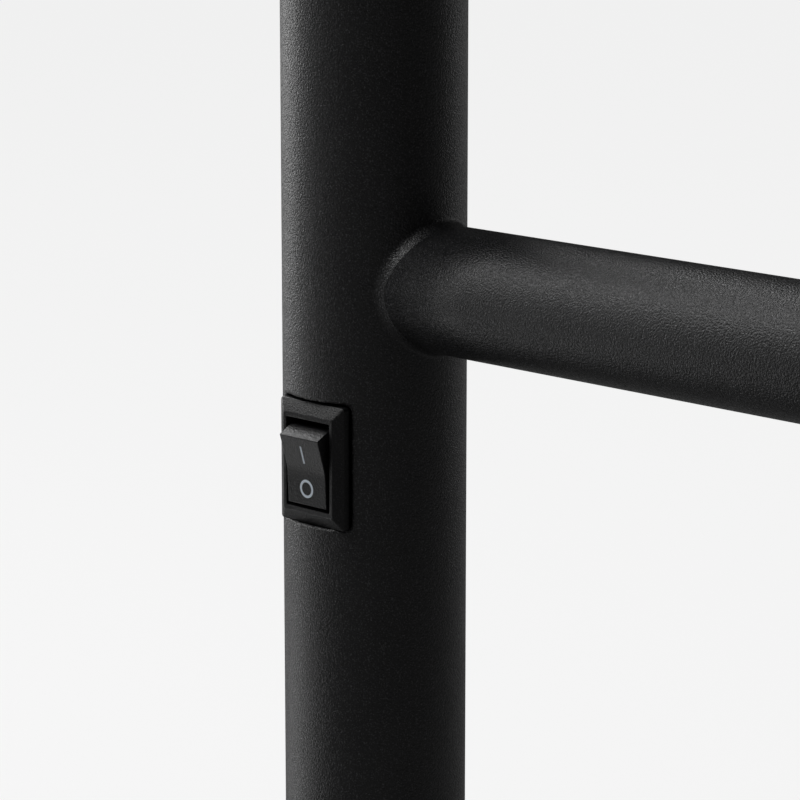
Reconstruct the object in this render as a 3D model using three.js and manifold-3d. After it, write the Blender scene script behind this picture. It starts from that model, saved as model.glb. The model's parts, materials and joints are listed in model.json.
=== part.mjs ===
// Free-standing electric towel warmer rack: two tubular uprights joined by six heated rails, standing on two
// tubular feet, with a rocker switch let into the front of the left upright.
// Millimetres, +Z up, the front towards -Y, the origin on the floor midway between the feet.

import * as THREE from 'three';
import { mergeVertices } from 'three/addons/utils/BufferGeometryUtils.js';
import { ParametricGeometry } from 'three/addons/geometries/ParametricGeometry.js';
import Module from 'manifold-3d';

const wasm = await Module();
wasm.setup();

// ---- Driving dimensions ----------------------------------------------------------------------------------

const GAP = 0.3;                 // left between solids that touch on the real rack
const SLIM_GAP = 0.15;           // the same between the small contacts of the switch
const PAST = 1;                  // how far a cutter runs past the face that it cuts

const RACK = { height: 900, spacing: 500 };
const UPRIGHT = { outer: 32, wall: 1.5, sides: 32 };
const RAIL = { outer: 22, wall: 1.2, count: 6, lowest: 240, belowTop: 60, cableHole: 14, sides: 28 };
const WELD = { leg: 1.9, sides: 24 };
const CAP = { dome: 4, rim: 1.2, plugDepth: 14, plugWall: 1.8, rings: 3, sides: 24 };

const FOOT = { outer: 32, wall: 1.5, length: 300, accessHole: 15, sides: 28 };
const PAD = { height: 4, lip: 4, diameter: 24, fromEnd: 20, stem: 5, barb: 7 };
const BOLT = { shank: 8, head: 13, headHeight: 5, key: 5, reach: 16 };
const WASHER = { width: 18, length: 22, thickness: 6.5 };
const PLUG = { height: 20 };

const BEZEL = { width: 15.4, height: 21.5, wall: 1.2, bevel: 1.2, lipWidth: 11.8, lipHeight: 17.2 };
const BODY = { width: 13, height: 19, depth: 13.8, floor: 1.2 };
const WELL = { width: 10.4, height: 15.6 };
const WING = { width: 6, reach: 1, top: 1.3, length: 3.3 };
const SWITCH = { belowRail: 30.5, pocketAbove: 1.2, pocketBelow: 0.6, pocketSide: 0.8, pocketCorner: 1.6 };
const ROCKER = {
  width: 9.3, restTilt: 9.5, pivotBelowLip: 5.1, pin: 2, pinReach: 1.25,
  tipReach: 6.2, tipHeight: 6.35, valley: 5.66, valleyHalf: 1.2,
  baseReach: 7.15, baseHeight: 3.5, lipReach: 7, lipHeight: 2.2,
  skirtReach: 4.5, skirtHeight: 1, sleeve: 5.2, sleeveDepth: 4, boreTop: 3.2,
};
const PLUNGER = { diameter: 2.6, tip: 6.9, top: 1.2 };
const SPRING = { coil: 2, wire: 0.4, turns: 4, sides: 5, stepsPerTurn: 10 };
const BLADE = { length: 12, width: 3.8, thickness: 0.5, belowPivot: 7.3, tilt: 5.7, button: 2.4, buttonHeight: 0.3 };
const TAB = { width: 4.8, thickness: 0.8, reach: 6.7, loadDrop: 5.7, plate: 2.6, plateHeight: 0.8 };
const BOOT = { width: 6.6, height: 3.2, length: 8.4, wallEnd: 1.6 };

const GLAND = { height: 74, bore: 8, neck: 12, lip: 15, lipLength: 2, flange: 19, flangeTop: 3.5, nose: 7.5 };
const BLOCK = { bottom: 92, height: 16, width: 17, depth: 8.5, pitch: 5.5, hole: 3.2, holeDepth: 5, screw: 3 };
const CABLE = { diameter: 3, bend: 12, sides: 8 };
const LEAD = { diameter: 2.2, sides: 8, steps: 18 };
const CUTOUT = { bottom: 126, length: 18, diameter: 6 };
const SPLICE = { bottom: 148, length: 22, diameter: 4.8, neck: 2.2 };
const EARTH = { offset: 8, ring: 8, hole: 4.3, thickness: 0.8, screw: 4, head: 7, headHeight: 2.5, barrel: 3.4 };

// ---- Derived places --------------------------------------------------------------------------------------

const uprightRadius = UPRIGHT.outer / 2;
const uprightInner = uprightRadius - UPRIGHT.wall;
const uprightTop = RACK.height - CAP.dome;
const railRadius = RAIL.outer / 2;
const railPitch = (RACK.height - RAIL.belowTop - RAIL.lowest) / (RAIL.count - 1);
const railHeights = Array.from({ length: RAIL.count }, (_, i) => RAIL.lowest + i * railPitch);

const footRadius = FOOT.outer / 2;
const footInner = footRadius - FOOT.wall;
const footAxis = PAD.height + footRadius;
const footTop = footAxis + footRadius;
const plugBottom = footTop + 2 * GAP;
const plugTop = plugBottom + PLUG.height;

// Across the switch, depth is counted from the upright's axis towards the front.
const switchHeight = RAIL.lowest - SWITCH.belowRail;
const seatDepth = Math.sqrt(uprightRadius ** 2 - (BEZEL.width / 2) ** 2);
const lipDepth = seatDepth + BEZEL.wall + BEZEL.bevel;
const bodyBack = seatDepth - BODY.depth;
const wellFloor = bodyBack + BODY.floor;
const pivotDepth = lipDepth - ROCKER.pivotBelowLip;
const bladeDepth = pivotDepth - BLADE.belowPivot;

// Wires inside the left upright run in two columns behind the switch and one line along the back wall.
const columnOffset = (uprightInner - CUTOUT.diameter / 2 - 3 * GAP) * Math.SQRT1_2;
const backLine = uprightInner - LEAD.diameter - GAP;
const leadSide = LEAD.diameter / 2 + 2 * GAP;

// ---- Finishes --------------------------------------------------------------------------------------------

const FINISHES = {
  powderCoat: { color: 0x1b1b1c, roughness: 0.62, metalness: 0 },
  mouldedBlack: { color: 0x202021, roughness: 0.5, metalness: 0 },
  rubber: { color: 0x141414, roughness: 0.85, metalness: 0 },
  zincSteel: { color: 0xb4b7ba, roughness: 0.35, metalness: 1 },
  springSteel: { color: 0x8d9094, roughness: 0.3, metalness: 1 },
  brass: { color: 0xc9a257, roughness: 0.35, metalness: 1 },
  aluminium: { color: 0xc2c5c8, roughness: 0.4, metalness: 1 },
  silicone: { color: 0xa33a2c, roughness: 0.6, metalness: 0 },
  clearNylon: { color: 0xd8d6cf, roughness: 0.45, metalness: 0 },
  liveBrown: { color: 0x6b3d20, roughness: 0.5, metalness: 0 },
  neutralBlue: { color: 0x2f63b3, roughness: 0.5, metalness: 0 },
  earthGreen: { color: 0x4f8f3a, roughness: 0.5, metalness: 0 },
};

// ---- Solids ----------------------------------------------------------------------------------------------

// Six times the volume inside a list of triangles, negative where the faces point inwards.
function sixVolumes(position, index) {
  const [a, b, c] = [new THREE.Vector3(), new THREE.Vector3(), new THREE.Vector3()];
  let sum = 0;
  for (let i = 0; i < index.length; i += 3) {
    a.fromBufferAttribute(position, index[i]);
    b.fromBufferAttribute(position, index[i + 1]);
    c.fromBufferAttribute(position, index[i + 2]);
    sum += a.dot(b.cross(c));
  }
  return sum;
}

// A closed geometry as a solid, with its shared corners merged and its faces pointing outwards.
function solid(geometry) {
  const bare = geometry.clone();
  bare.deleteAttribute('normal');
  bare.deleteAttribute('uv');
  const merged = mergeVertices(bare, 1e-4);
  const corners = merged.index.array;
  const kept = [];
  for (let i = 0; i < corners.length; i += 3) {
    const [a, b, c] = [corners[i], corners[i + 1], corners[i + 2]];
    if (a !== b && b !== c && c !== a) kept.push(a, b, c);
  }
  if (sixVolumes(merged.attributes.position, kept) < 0) kept.reverse();
  const vertProperties = merged.attributes.position.array;
  return new wasm.Manifold(new wasm.Mesh({ numProp: 3, vertProperties, triVerts: new Uint32Array(kept) }));
}

function union(first, ...rest) {
  return rest.reduce((sum, next) => sum.add(next), first);
}

function cut(first, ...rest) {
  return rest.reduce((left, next) => left.subtract(next), first);
}

// A cone or cylinder along an axis; at holds its place on the other two axes, in X, Y, Z order.
function rod(axis, radius, from, to, { at = [0, 0], sides = 16, endRadius = radius } = {}) {
  const geometry = new THREE.CylinderGeometry(endRadius, radius, to - from, sides);
  geometry.translate(0, (from + to) / 2, 0);
  return solid(turned(geometry, axis, at));
}

// A profile of [radius, distance along the axis] points turned round an axis.
function revolve(axis, profile, { at = [0, 0], sides = 24 } = {}) {
  const geometry = new THREE.LatheGeometry(profile.map(([r, t]) => new THREE.Vector2(r, t)), sides);
  return solid(turned(geometry, axis, at));
}

// A geometry made along +Y, laid along the named axis.
function turned(geometry, axis, [u, v]) {
  if (axis === 'x') return geometry.rotateZ(-Math.PI / 2).translate(0, u, v);
  if (axis === 'z') return geometry.rotateX(Math.PI / 2).translate(u, v, 0);
  return geometry.translate(u, 0, v);
}

function box([x0, y0, z0], [x1, y1, z1]) {
  const geometry = new THREE.BoxGeometry(x1 - x0, y1 - y0, z1 - z0);
  return solid(geometry.translate((x0 + x1) / 2, (y0 + y1) / 2, (z0 + z1) / 2));
}

// A block whose top is smaller than its base, both centred on the Z axis.
function taperedBlock([baseX, baseY], [topX, topY], z0, z1) {
  const geometry = new THREE.BoxGeometry(1, 1, 1);
  const place = geometry.attributes.position;
  for (let i = 0; i < place.count; i += 1) {
    const top = place.getZ(i) > 0;
    place.setXYZ(i, place.getX(i) * (top ? topX : baseX), place.getY(i) * (top ? topY : baseY), top ? z1 : z0);
  }
  return solid(geometry);
}

function roundedRectangle(width, height, radius) {
  const [x, y] = [width / 2 - radius, height / 2 - radius];
  const shape = new THREE.Shape();
  shape.absarc(x, y, radius, 0, Math.PI / 2);
  shape.absarc(-x, y, radius, Math.PI / 2, Math.PI);
  shape.absarc(-x, -y, radius, Math.PI, 1.5 * Math.PI);
  shape.absarc(x, -y, radius, 1.5 * Math.PI, 2 * Math.PI);
  return shape;
}

// An open tube along an axis.
function pipe(axis, outer, inner, from, to, sides) {
  const profile = [[inner, from], [outer, from], [outer, to], [inner, to], [inner, from]];
  return revolve(axis, profile, { sides });
}

// A domed plug that closes the end of a tube, made along +Y with the tube's end face at zero.
function capProfile(outerRadius, wall) {
  const plugRadius = outerRadius - wall - GAP;
  const dome = Array.from({ length: CAP.rings + 1 }, (_, i) => {
    const angle = (i / CAP.rings) * (Math.PI / 2);
    return [outerRadius * Math.sin(angle), CAP.rim + (CAP.dome - CAP.rim) * Math.cos(angle)];
  });
  dome[0][0] = 0;
  return [
    ...dome, [outerRadius, GAP], [plugRadius, GAP], [plugRadius, -CAP.plugDepth],
    [plugRadius - CAP.plugWall, -CAP.plugDepth], [plugRadius - CAP.plugWall, 0], [0, 0],
  ];
}

// A path through chosen stations, with one section of the sweep at each station.
class Route extends THREE.Curve {
  constructor(points) {
    super();
    this.points = points.map((point) => new THREE.Vector3(...point));
  }

  getPoint(t, target = new THREE.Vector3()) {
    const last = this.points.length - 1;
    const i = Math.min(Math.floor(t * last), last - 1);
    return target.lerpVectors(this.points[i], this.points[i + 1], t * last - i);
  }

  getPointAt(t, target) {
    return this.getPoint(t, target);
  }

  getTangentAt(t, target = new THREE.Vector3()) {
    const last = this.points.length - 1;
    const i = Math.round(t * last);
    const back = this.points[Math.max(i, 1)].clone().sub(this.points[Math.max(i, 1) - 1]).normalize();
    const on = this.points[Math.min(i, last - 1) + 1].clone().sub(this.points[Math.min(i, last - 1)]).normalize();
    return target.addVectors(back, on).normalize();
  }
}

class Helix extends THREE.Curve {
  constructor(radius, from, to, turns) {
    super();
    Object.assign(this, { radius, from, to, turns });
  }

  getPoint(t, target = new THREE.Vector3()) {
    const angle = t * this.turns * 2 * Math.PI;
    const z = this.from + t * (this.to - this.from);
    return target.set(this.radius * Math.cos(angle), this.radius * Math.sin(angle), z);
  }
}

function sweep(path, diameter, sides, steps) {
  const section = new THREE.Shape();
  for (let i = 0; i < sides; i += 1) {
    const angle = (i / sides) * 2 * Math.PI;
    const [x, y] = [(diameter / 2) * Math.cos(angle), (diameter / 2) * Math.sin(angle)];
    if (i === 0) section.moveTo(x, y);
    else section.lineTo(x, y);
  }
  return solid(new THREE.ExtrudeGeometry(section, { steps, extrudePath: path, bevelEnabled: false }));
}

function lead(points) {
  const path = new THREE.CatmullRomCurve3(points.map((point) => new THREE.Vector3(...point)));
  return sweep(path, LEAD.diameter, LEAD.sides, LEAD.steps);
}

// Puts a solid into the rack as a named mesh of its own.
function add(parent, name, shape, finish) {
  const { numProp, vertProperties, triVerts } = shape.getMesh();
  const geometry = new THREE.BufferGeometry();
  geometry.setAttribute('position', new THREE.BufferAttribute(new Float32Array(vertProperties), numProp));
  geometry.setIndex([...triVerts]);
  geometry.computeVertexNormals();
  const mesh = new THREE.Mesh(geometry, new THREE.MeshStandardMaterial(FINISHES[finish]));
  mesh.name = name;
  parent.add(mesh);
}

// ---- Frame -----------------------------------------------------------------------------------------------

// An upright on its own axis. Rails meet it on one side: +1 towards +X, -1 towards -X.
function uprightTube(railSide) {
  const tube = pipe('z', uprightRadius, uprightInner, footAxis, uprightTop, UPRIGHT.sides);
  const saddle = rod('y', footRadius + GAP, -uprightRadius - PAST, uprightRadius + PAST,
    { at: [0, footAxis], sides: FOOT.sides });
  const ends = [0, railSide * (uprightRadius + PAST)].sort((a, b) => a - b);
  const cableHoles = railHeights.map((z) => rod('x', RAIL.cableHole / 2, ...ends, { at: [0, z] }));
  return cut(tube, saddle, ...cableHoles);
}

// The flat milled for the bezel and the window for the switch body, in the switch's own frame.
function switchCutOut() {
  const depth = uprightRadius + PAST - (seatDepth - GAP);
  const flat = new THREE.ExtrudeGeometry(
    roundedRectangle(BEZEL.width + 2 * SWITCH.pocketSide,
      BEZEL.height + SWITCH.pocketAbove + SWITCH.pocketBelow, SWITCH.pocketCorner),
    { depth, bevelEnabled: false, curveSegments: 3 },
  );
  const [x, y] = [BODY.width / 2 + GAP, BODY.height / 2 + GAP];
  const window = box([-x, -y, 0], [x, y, uprightRadius + PAST]);
  const rise = (SWITCH.pocketAbove - SWITCH.pocketBelow) / 2;
  return union(solid(flat.translate(0, rise, seatDepth - GAP)), window)
    .rotate([90, 0, 0]).translate([0, 0, switchHeight]);
}

function glandHole() {
  return rod('y', GLAND.neck / 2 + GAP, 0, uprightRadius + PAST, { at: [0, GLAND.height] });
}

// A rail coped at both ends to the round of the uprights.
function railTube(height) {
  const half = RACK.spacing / 2;
  const tube = pipe('x', railRadius, railRadius - RAIL.wall, -half, half, RAIL.sides)
    .translate([0, 0, height]);
  const copes = [-half, half].map((x) => rod('z', uprightRadius + GAP, height - railRadius - PAST,
    height + railRadius + PAST, { at: [x, 0], sides: UPRIGHT.sides }));
  return cut(tube, ...copes);
}

// The bead round a rail where it meets the upright at the left: a three-cornered section carried round the
// saddle line, with its root in the corner between the two tubes.
function weldBead(height) {
  const [round, seat] = [railRadius + GAP, uprightRadius + GAP];
  const place = (u, v, target) => {
    const angle = u * 2 * Math.PI;
    const corner = Math.round(v * 3) % 3;
    const reach = corner === 1 ? round + WELD.leg : round;
    const y = reach * Math.cos(angle);
    const out = Math.sqrt(seat ** 2 - y ** 2) + (corner === 2 ? WELD.leg : 0);
    target.set(out - RACK.spacing / 2, y, height + reach * Math.sin(angle));
  };
  return solid(new ParametricGeometry(place, WELD.sides, 3));
}

function buildFrame(rack) {
  const left = cut(uprightTube(1), switchCutOut(), glandHole()).translate([-RACK.spacing / 2, 0, 0]);
  const right = uprightTube(-1).translate([RACK.spacing / 2, 0, 0]);
  add(rack, 'left_upright', left, 'powderCoat');
  add(rack, 'right_upright', right, 'powderCoat');
  railHeights.forEach((height, i) => {
    add(rack, `rail_${i + 1}`, railTube(height), 'powderCoat');
    const bead = weldBead(height);
    add(rack, `weld_${i + 1}_left`, bead, 'powderCoat');
    add(rack, `weld_${i + 1}_right`, bead.mirror([1, 0, 0]), 'powderCoat');
  });
  for (const [side, x] of [['left', -RACK.spacing / 2], ['right', RACK.spacing / 2]]) {
    const cap = revolve('z', capProfile(uprightRadius, UPRIGHT.wall), { sides: CAP.sides });
    add(rack, `${side}_top_cap`, cap.translate([x, 0, uprightTop]), 'mouldedBlack');
  }
}

// ---- Feet ------------------------------------------------------------------------------------------------

function footTube() {
  const half = FOOT.length / 2;
  const tube = pipe('y', footRadius, footInner, -half, half, FOOT.sides).translate([0, 0, footAxis]);
  const stemHoles = [-1, 1].map((end) => rod('z', PAD.stem / 2 + GAP, 0, footAxis,
    { at: [0, end * (half - PAD.fromEnd)] }));
  return cut(tube, rod('z', BOLT.shank / 2 + GAP, footAxis, footTop + PAST),
    rod('z', FOOT.accessHole / 2, 0, footAxis), ...stemHoles);
}

// A rubber pad hollowed to the foot's round, with a barbed stem pushed through the foot's wall.
function footPad(end) {
  const y = end * (FOOT.length / 2 - PAD.fromEnd);
  const at = [0, y];
  const tube = rod('y', footRadius + GAP, y - PAD.diameter, y + PAD.diameter,
    { at: [0, footAxis], sides: FOOT.sides });
  const sole = cut(rod('z', PAD.diameter / 2, 0, PAD.height + PAD.lip, { at, sides: 24 }), tube);
  const inside = footAxis - Math.sqrt(footInner ** 2 - (PAD.barb / 2) ** 2) + GAP;
  const stem = rod('z', PAD.stem / 2, PAD.height / 2, inside + PAD.stem, { at });
  const barb = rod('z', PAD.barb / 2, inside, inside + PAD.stem, { at, endRadius: PAD.stem / 4 });
  return union(sole, stem, barb);
}

// A block under the foot's top wall that spreads the bolt's pull.
function saddleWasher(top, bottom) {
  const [x, y] = [WASHER.width / 2, WASHER.length / 2];
  const round = rod('y', footInner - GAP, -y, y, { at: [0, footAxis], sides: FOOT.sides });
  const block = box([-x, -y, bottom], [x, y, top]).intersect(round);
  return cut(block, rod('z', BOLT.shank / 2 + GAP, bottom - PAST, top + PAST));
}

function footBolt(underHead) {
  const shank = rod('z', BOLT.shank / 2, underHead, plugBottom + BOLT.reach);
  const head = rod('z', BOLT.head / 2 - 1, underHead - BOLT.headHeight, underHead,
    { endRadius: BOLT.head / 2 });
  const keySocket = rod('z', BOLT.key / Math.sqrt(3), underHead - BOLT.headHeight - PAST, underHead - 2,
    { sides: 6 });
  return cut(union(head, shank), keySocket);
}

function threadedPlug(isEarthed) {
  const body = rod('z', uprightInner - GAP, plugBottom, plugTop, { sides: CAP.sides });
  const bore = rod('z', BOLT.shank / 2 + GAP, plugBottom - PAST, plugTop + PAST);
  const earthHole = rod('z', EARTH.screw / 2 + GAP, plugBottom + 4, plugTop + PAST, { at: [EARTH.offset, 0] });
  return isEarthed ? cut(body, bore, earthHole) : cut(body, bore);
}

function buildFoot(rack, side, x) {
  const group = new THREE.Group();
  group.position.x = x;
  rack.add(group);
  const washerTop = footAxis + footInner;
  const washerBottom = washerTop - WASHER.thickness;
  add(group, `${side}_foot`, footTube(), 'powderCoat');
  add(group, `${side}_foot_washer`, saddleWasher(washerTop, washerBottom), 'zincSteel');
  add(group, `${side}_foot_bolt`, footBolt(washerBottom - GAP), 'zincSteel');
  add(group, `${side}_foot_plug`, threadedPlug(side === 'left'), 'zincSteel');
  for (const [end, direction] of [['front', -1], ['back', 1]]) {
    const cap = revolve('y', capProfile(footRadius, FOOT.wall), { sides: CAP.sides })
      .rotate([0, 0, direction > 0 ? 0 : 180]).translate([0, direction * FOOT.length / 2, footAxis]);
    add(group, `${side}_${end}_foot_cap`, cap, 'mouldedBlack');
    add(group, `${side}_${end}_foot_pad`, footPad(direction), 'rubber');
  }
}

// ---- Switch: X across, Y up, Z out towards the front, the upright's axis at zero ---------------------------

function switchHousing() {
  const [x, y] = [BEZEL.width / 2, BEZEL.height / 2];
  const rim = box([-x, -y, seatDepth], [x, y, seatDepth + BEZEL.wall]);
  const bevel = taperedBlock([BEZEL.width, BEZEL.height], [BEZEL.lipWidth, BEZEL.lipHeight],
    seatDepth + BEZEL.wall, lipDepth);
  const body = box([-BODY.width / 2, -BODY.height / 2, bodyBack], [BODY.width / 2, BODY.height / 2, seatDepth]);
  const wingTop = seatDepth - WING.top;
  const wings = taperedBlock([WING.width, BODY.height], [WING.width, BODY.height + 2 * WING.reach],
    wingTop - WING.length, wingTop);
  const well = box([-WELL.width / 2, -WELL.height / 2, wellFloor],
    [WELL.width / 2, WELL.height / 2, lipDepth + PAST]);
  const socketReach = ROCKER.width / 2 + ROCKER.pinReach + GAP;
  const socket = rod('x', ROCKER.pin / 2 + GAP, -socketReach, socketReach, { at: [0, pivotDepth], sides: 16 });
  const slots = [0, -TAB.loadDrop].map((drop) => box(
    [-TAB.width / 2 - GAP, drop - TAB.thickness / 2 - GAP, bodyBack - PAST],
    [TAB.width / 2 + GAP, drop + TAB.thickness / 2 + GAP, wellFloor + PAST],
  ));
  return cut(union(rim, bevel, body, wings), well, socket, ...slots);
}

// The rocker about its pivot, level: a shallow valley in front, skirts, pivot pins and the plunger's sleeve.
function rocker() {
  const valleySlope = (ROCKER.tipHeight - ROCKER.valley) / ROCKER.tipReach;
  const shoulder = ROCKER.valley + valleySlope * ROCKER.valleyHalf;
  const side = new THREE.Shape();
  side.moveTo(ROCKER.tipReach, ROCKER.tipHeight);
  side.lineTo(ROCKER.valleyHalf, shoulder);
  side.quadraticCurveTo(0, ROCKER.valley, -ROCKER.valleyHalf, shoulder);
  const corners = [
    [ROCKER.tipReach, ROCKER.tipHeight], [ROCKER.baseReach, ROCKER.baseHeight],
    [ROCKER.lipReach, ROCKER.lipHeight], [ROCKER.skirtReach, ROCKER.skirtHeight],
    [ROCKER.sleeve / 2, -ROCKER.skirtHeight],
  ];
  corners.forEach(([y, z]) => side.lineTo(-y, z));
  corners.reverse().slice(0, -1).forEach(([y, z]) => side.lineTo(y, z));
  side.closePath();
  const across = new THREE.Matrix4().makeBasis(new THREE.Vector3(0, 1, 0), new THREE.Vector3(0, 0, 1),
    new THREE.Vector3(1, 0, 0));
  const block = new THREE.ExtrudeGeometry(side, { depth: ROCKER.width, bevelEnabled: false, curveSegments: 4 })
    .translate(0, 0, -ROCKER.width / 2).applyMatrix4(across);
  const pinEnd = ROCKER.width / 2 + ROCKER.pinReach;
  const pins = rod('x', ROCKER.pin / 2, -pinEnd, pinEnd, { sides: 16 });
  const sleeve = rod('z', ROCKER.sleeve / 2, -ROCKER.sleeveDepth, 0);
  const bore = rod('z', PLUNGER.diameter / 2 + GAP, -ROCKER.sleeveDepth - PAST, ROCKER.boreTop);
  return cut(union(solid(block), pins, sleeve), bore);
}

function plunger() {
  const radius = PLUNGER.diameter / 2;
  const ball = [0, 1, 2, 3].map((i) => {
    const angle = (i / 3) * (Math.PI / 2);
    return [radius * Math.sin(angle), -PLUNGER.tip + radius * (1 - Math.cos(angle))];
  });
  return revolve('z', [...ball, [radius, -PLUNGER.top], [0, -PLUNGER.top]], { sides: 16 });
}

function plungerSpring() {
  const half = SPRING.wire / 2;
  const path = new Helix(SPRING.coil / 2, -PLUNGER.top + GAP + half, ROCKER.boreTop - GAP - half, SPRING.turns);
  return sweep(path, SPRING.wire, SPRING.sides, SPRING.turns * SPRING.stepsPerTurn);
}

// The see-saw blade about its fulcrum, level, with the contact button under its lower end.
function contactBlade() {
  const [x, y, z] = [BLADE.width / 2, BLADE.length / 2, BLADE.thickness / 2];
  const button = rod('z', BLADE.button / 2, -z - BLADE.buttonHeight, 0,
    { at: [0, BLADE.button / 2 - y], sides: 12 });
  return union(box([-x, -y, -z], [x, y, z]), button);
}

// A push-on tab through the housing's floor, with its head inside the well.
function terminal(drop, headLength, headTop) {
  const [x, y] = [TAB.width / 2, TAB.thickness / 2];
  const tab = box([-x, drop - y, bodyBack - TAB.reach], [x, drop + y, wellFloor + GAP + TAB.plateHeight / 2]);
  const head = box([-BLADE.width / 2, drop - headLength / 2, wellFloor + GAP],
    [BLADE.width / 2, drop + headLength / 2, headTop]);
  return union(tab, head);
}

function tabBoot(drop) {
  const [x, y, front] = [BOOT.width / 2, BOOT.height / 2, bodyBack - GAP];
  const sleeve = box([-x, drop - y, front - BOOT.length], [x, drop + y, front]);
  const pocket = box([-TAB.width / 2 - GAP, drop - TAB.thickness / 2 - GAP, front - BOOT.length + BOOT.wallEnd],
    [TAB.width / 2 + GAP, drop + TAB.thickness / 2 + GAP, front + PAST]);
  return cut(sleeve, pocket);
}

function buildSwitch(rack) {
  const group = new THREE.Group();
  group.position.set(-RACK.spacing / 2, 0, switchHeight);
  group.rotation.x = Math.PI / 2;
  rack.add(group);
  add(group, 'switch_housing', switchHousing(), 'mouldedBlack');

  const tilting = new THREE.Group();
  tilting.position.z = pivotDepth;
  tilting.rotation.x = THREE.MathUtils.degToRad(ROCKER.restTilt);
  group.add(tilting);
  add(tilting, 'rocker', rocker(), 'mouldedBlack');
  add(tilting, 'rocker_plunger', plunger(), 'clearNylon');
  add(tilting, 'plunger_spring', plungerSpring(), 'springSteel');

  const seeSaw = new THREE.Group();
  seeSaw.position.z = bladeDepth;
  seeSaw.rotation.x = -THREE.MathUtils.degToRad(BLADE.tilt);
  group.add(seeSaw);
  add(seeSaw, 'contact_blade', contactBlade(), 'brass');

  const fulcrum = bladeDepth - BLADE.thickness / 2 - SLIM_GAP;
  const plateTop = wellFloor + GAP + TAB.plateHeight;
  add(group, 'common_terminal', terminal(0, TAB.thickness, fulcrum), 'brass');
  add(group, 'load_terminal', terminal(-TAB.loadDrop, TAB.plate, plateTop), 'brass');
  add(group, 'common_boot', tabBoot(0), 'clearNylon');
  add(group, 'load_boot', tabBoot(-TAB.loadDrop), 'clearNylon');
}

// ---- Wiring inside the left upright, on the upright's own axis ---------------------------------------------

function cableGland() {
  const at = [0, GLAND.height];
  const flangeFace = uprightRadius + GLAND.flangeTop;
  const neckEnd = Math.sqrt(uprightInner ** 2 - (GLAND.lip / 2) ** 2) - GAP - GLAND.lipLength;
  const tube = rod('z', uprightRadius + GAP, GLAND.height - GLAND.flange, GLAND.height + GLAND.flange,
    { sides: UPRIGHT.sides });
  const flange = cut(rod('y', GLAND.flange / 2, uprightInner - 3, flangeFace, { at, sides: 24 }), tube);
  const neck = rod('y', GLAND.neck / 2, neckEnd, flangeFace, { at });
  const lip = rod('y', GLAND.neck / 2, neckEnd, neckEnd + GLAND.lipLength, { at, endRadius: GLAND.lip / 2 });
  const nose = rod('y', GLAND.neck / 2 + 2, flangeFace, flangeFace + GLAND.nose,
    { at, endRadius: GLAND.neck / 2 });
  const bore = rod('y', GLAND.bore / 2, neckEnd - PAST, flangeFace + GLAND.nose + PAST, { at });
  return cut(union(flange, neck, lip, nose), bore);
}

function terminalBlock() {
  const top = BLOCK.bottom + BLOCK.height;
  const body = box([-BLOCK.width / 2, -BLOCK.depth, BLOCK.bottom], [BLOCK.width / 2, 0, top]);
  const holes = [-1, 0, 1].flatMap((way) => {
    const at = [way * BLOCK.pitch, -BLOCK.depth / 2];
    return [
      rod('z', BLOCK.hole / 2, BLOCK.bottom - PAST, BLOCK.bottom + BLOCK.holeDepth, { at, sides: 12 }),
      rod('z', BLOCK.hole / 2, top - BLOCK.holeDepth, top + PAST, { at, sides: 12 }),
      rod('y', BLOCK.screw / 2, -BLOCK.depth - PAST, -BLOCK.depth + 1.5,
        { at: [way * BLOCK.pitch, (BLOCK.bottom + top) / 2], sides: 12 }),
    ];
  });
  return cut(body, ...holes);
}

function thermalCutOut() {
  const [radius, top] = [CUTOUT.diameter / 2, CUTOUT.bottom + CUTOUT.length];
  const profile = [[0, CUTOUT.bottom], [radius - 1, CUTOUT.bottom], [radius, CUTOUT.bottom + 1],
    [radius, top - 1], [radius - 1, top], [0, top]];
  return revolve('z', profile, { at: [-columnOffset, columnOffset], sides: 16 });
}

// A crimped sleeve on the end of the heating cable, with the stub of its cold tail below.
function spliceSleeve(side) {
  const [radius, top] = [SPLICE.diameter / 2, SPLICE.bottom + SPLICE.length];
  const tail = CUTOUT.bottom + CUTOUT.length + GAP;
  const profile = [[0, tail], [SPLICE.neck / 2, tail], [SPLICE.neck / 2, SPLICE.bottom],
    [radius, SPLICE.bottom + 1], [radius, top - 1], [CABLE.diameter / 2, top], [0, top]];
  return revolve('z', profile, { at: [side * columnOffset, columnOffset], sides: 16 });
}

// A quarter bend of the heating cable between a rail and an upright on the given side; rising turns the
// cable up out of the rail, falling turns it down.
function quarterBend(side, height, vertical) {
  const centre = RACK.spacing / 2 - uprightInner / 4;
  return [0, 30, 60, 90].map((degrees) => {
    const angle = THREE.MathUtils.degToRad(degrees);
    const x = side * (centre + CABLE.bend * Math.sin(angle));
    return [x, 0, height + vertical * CABLE.bend * (1 - Math.cos(angle))];
  });
}

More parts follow.
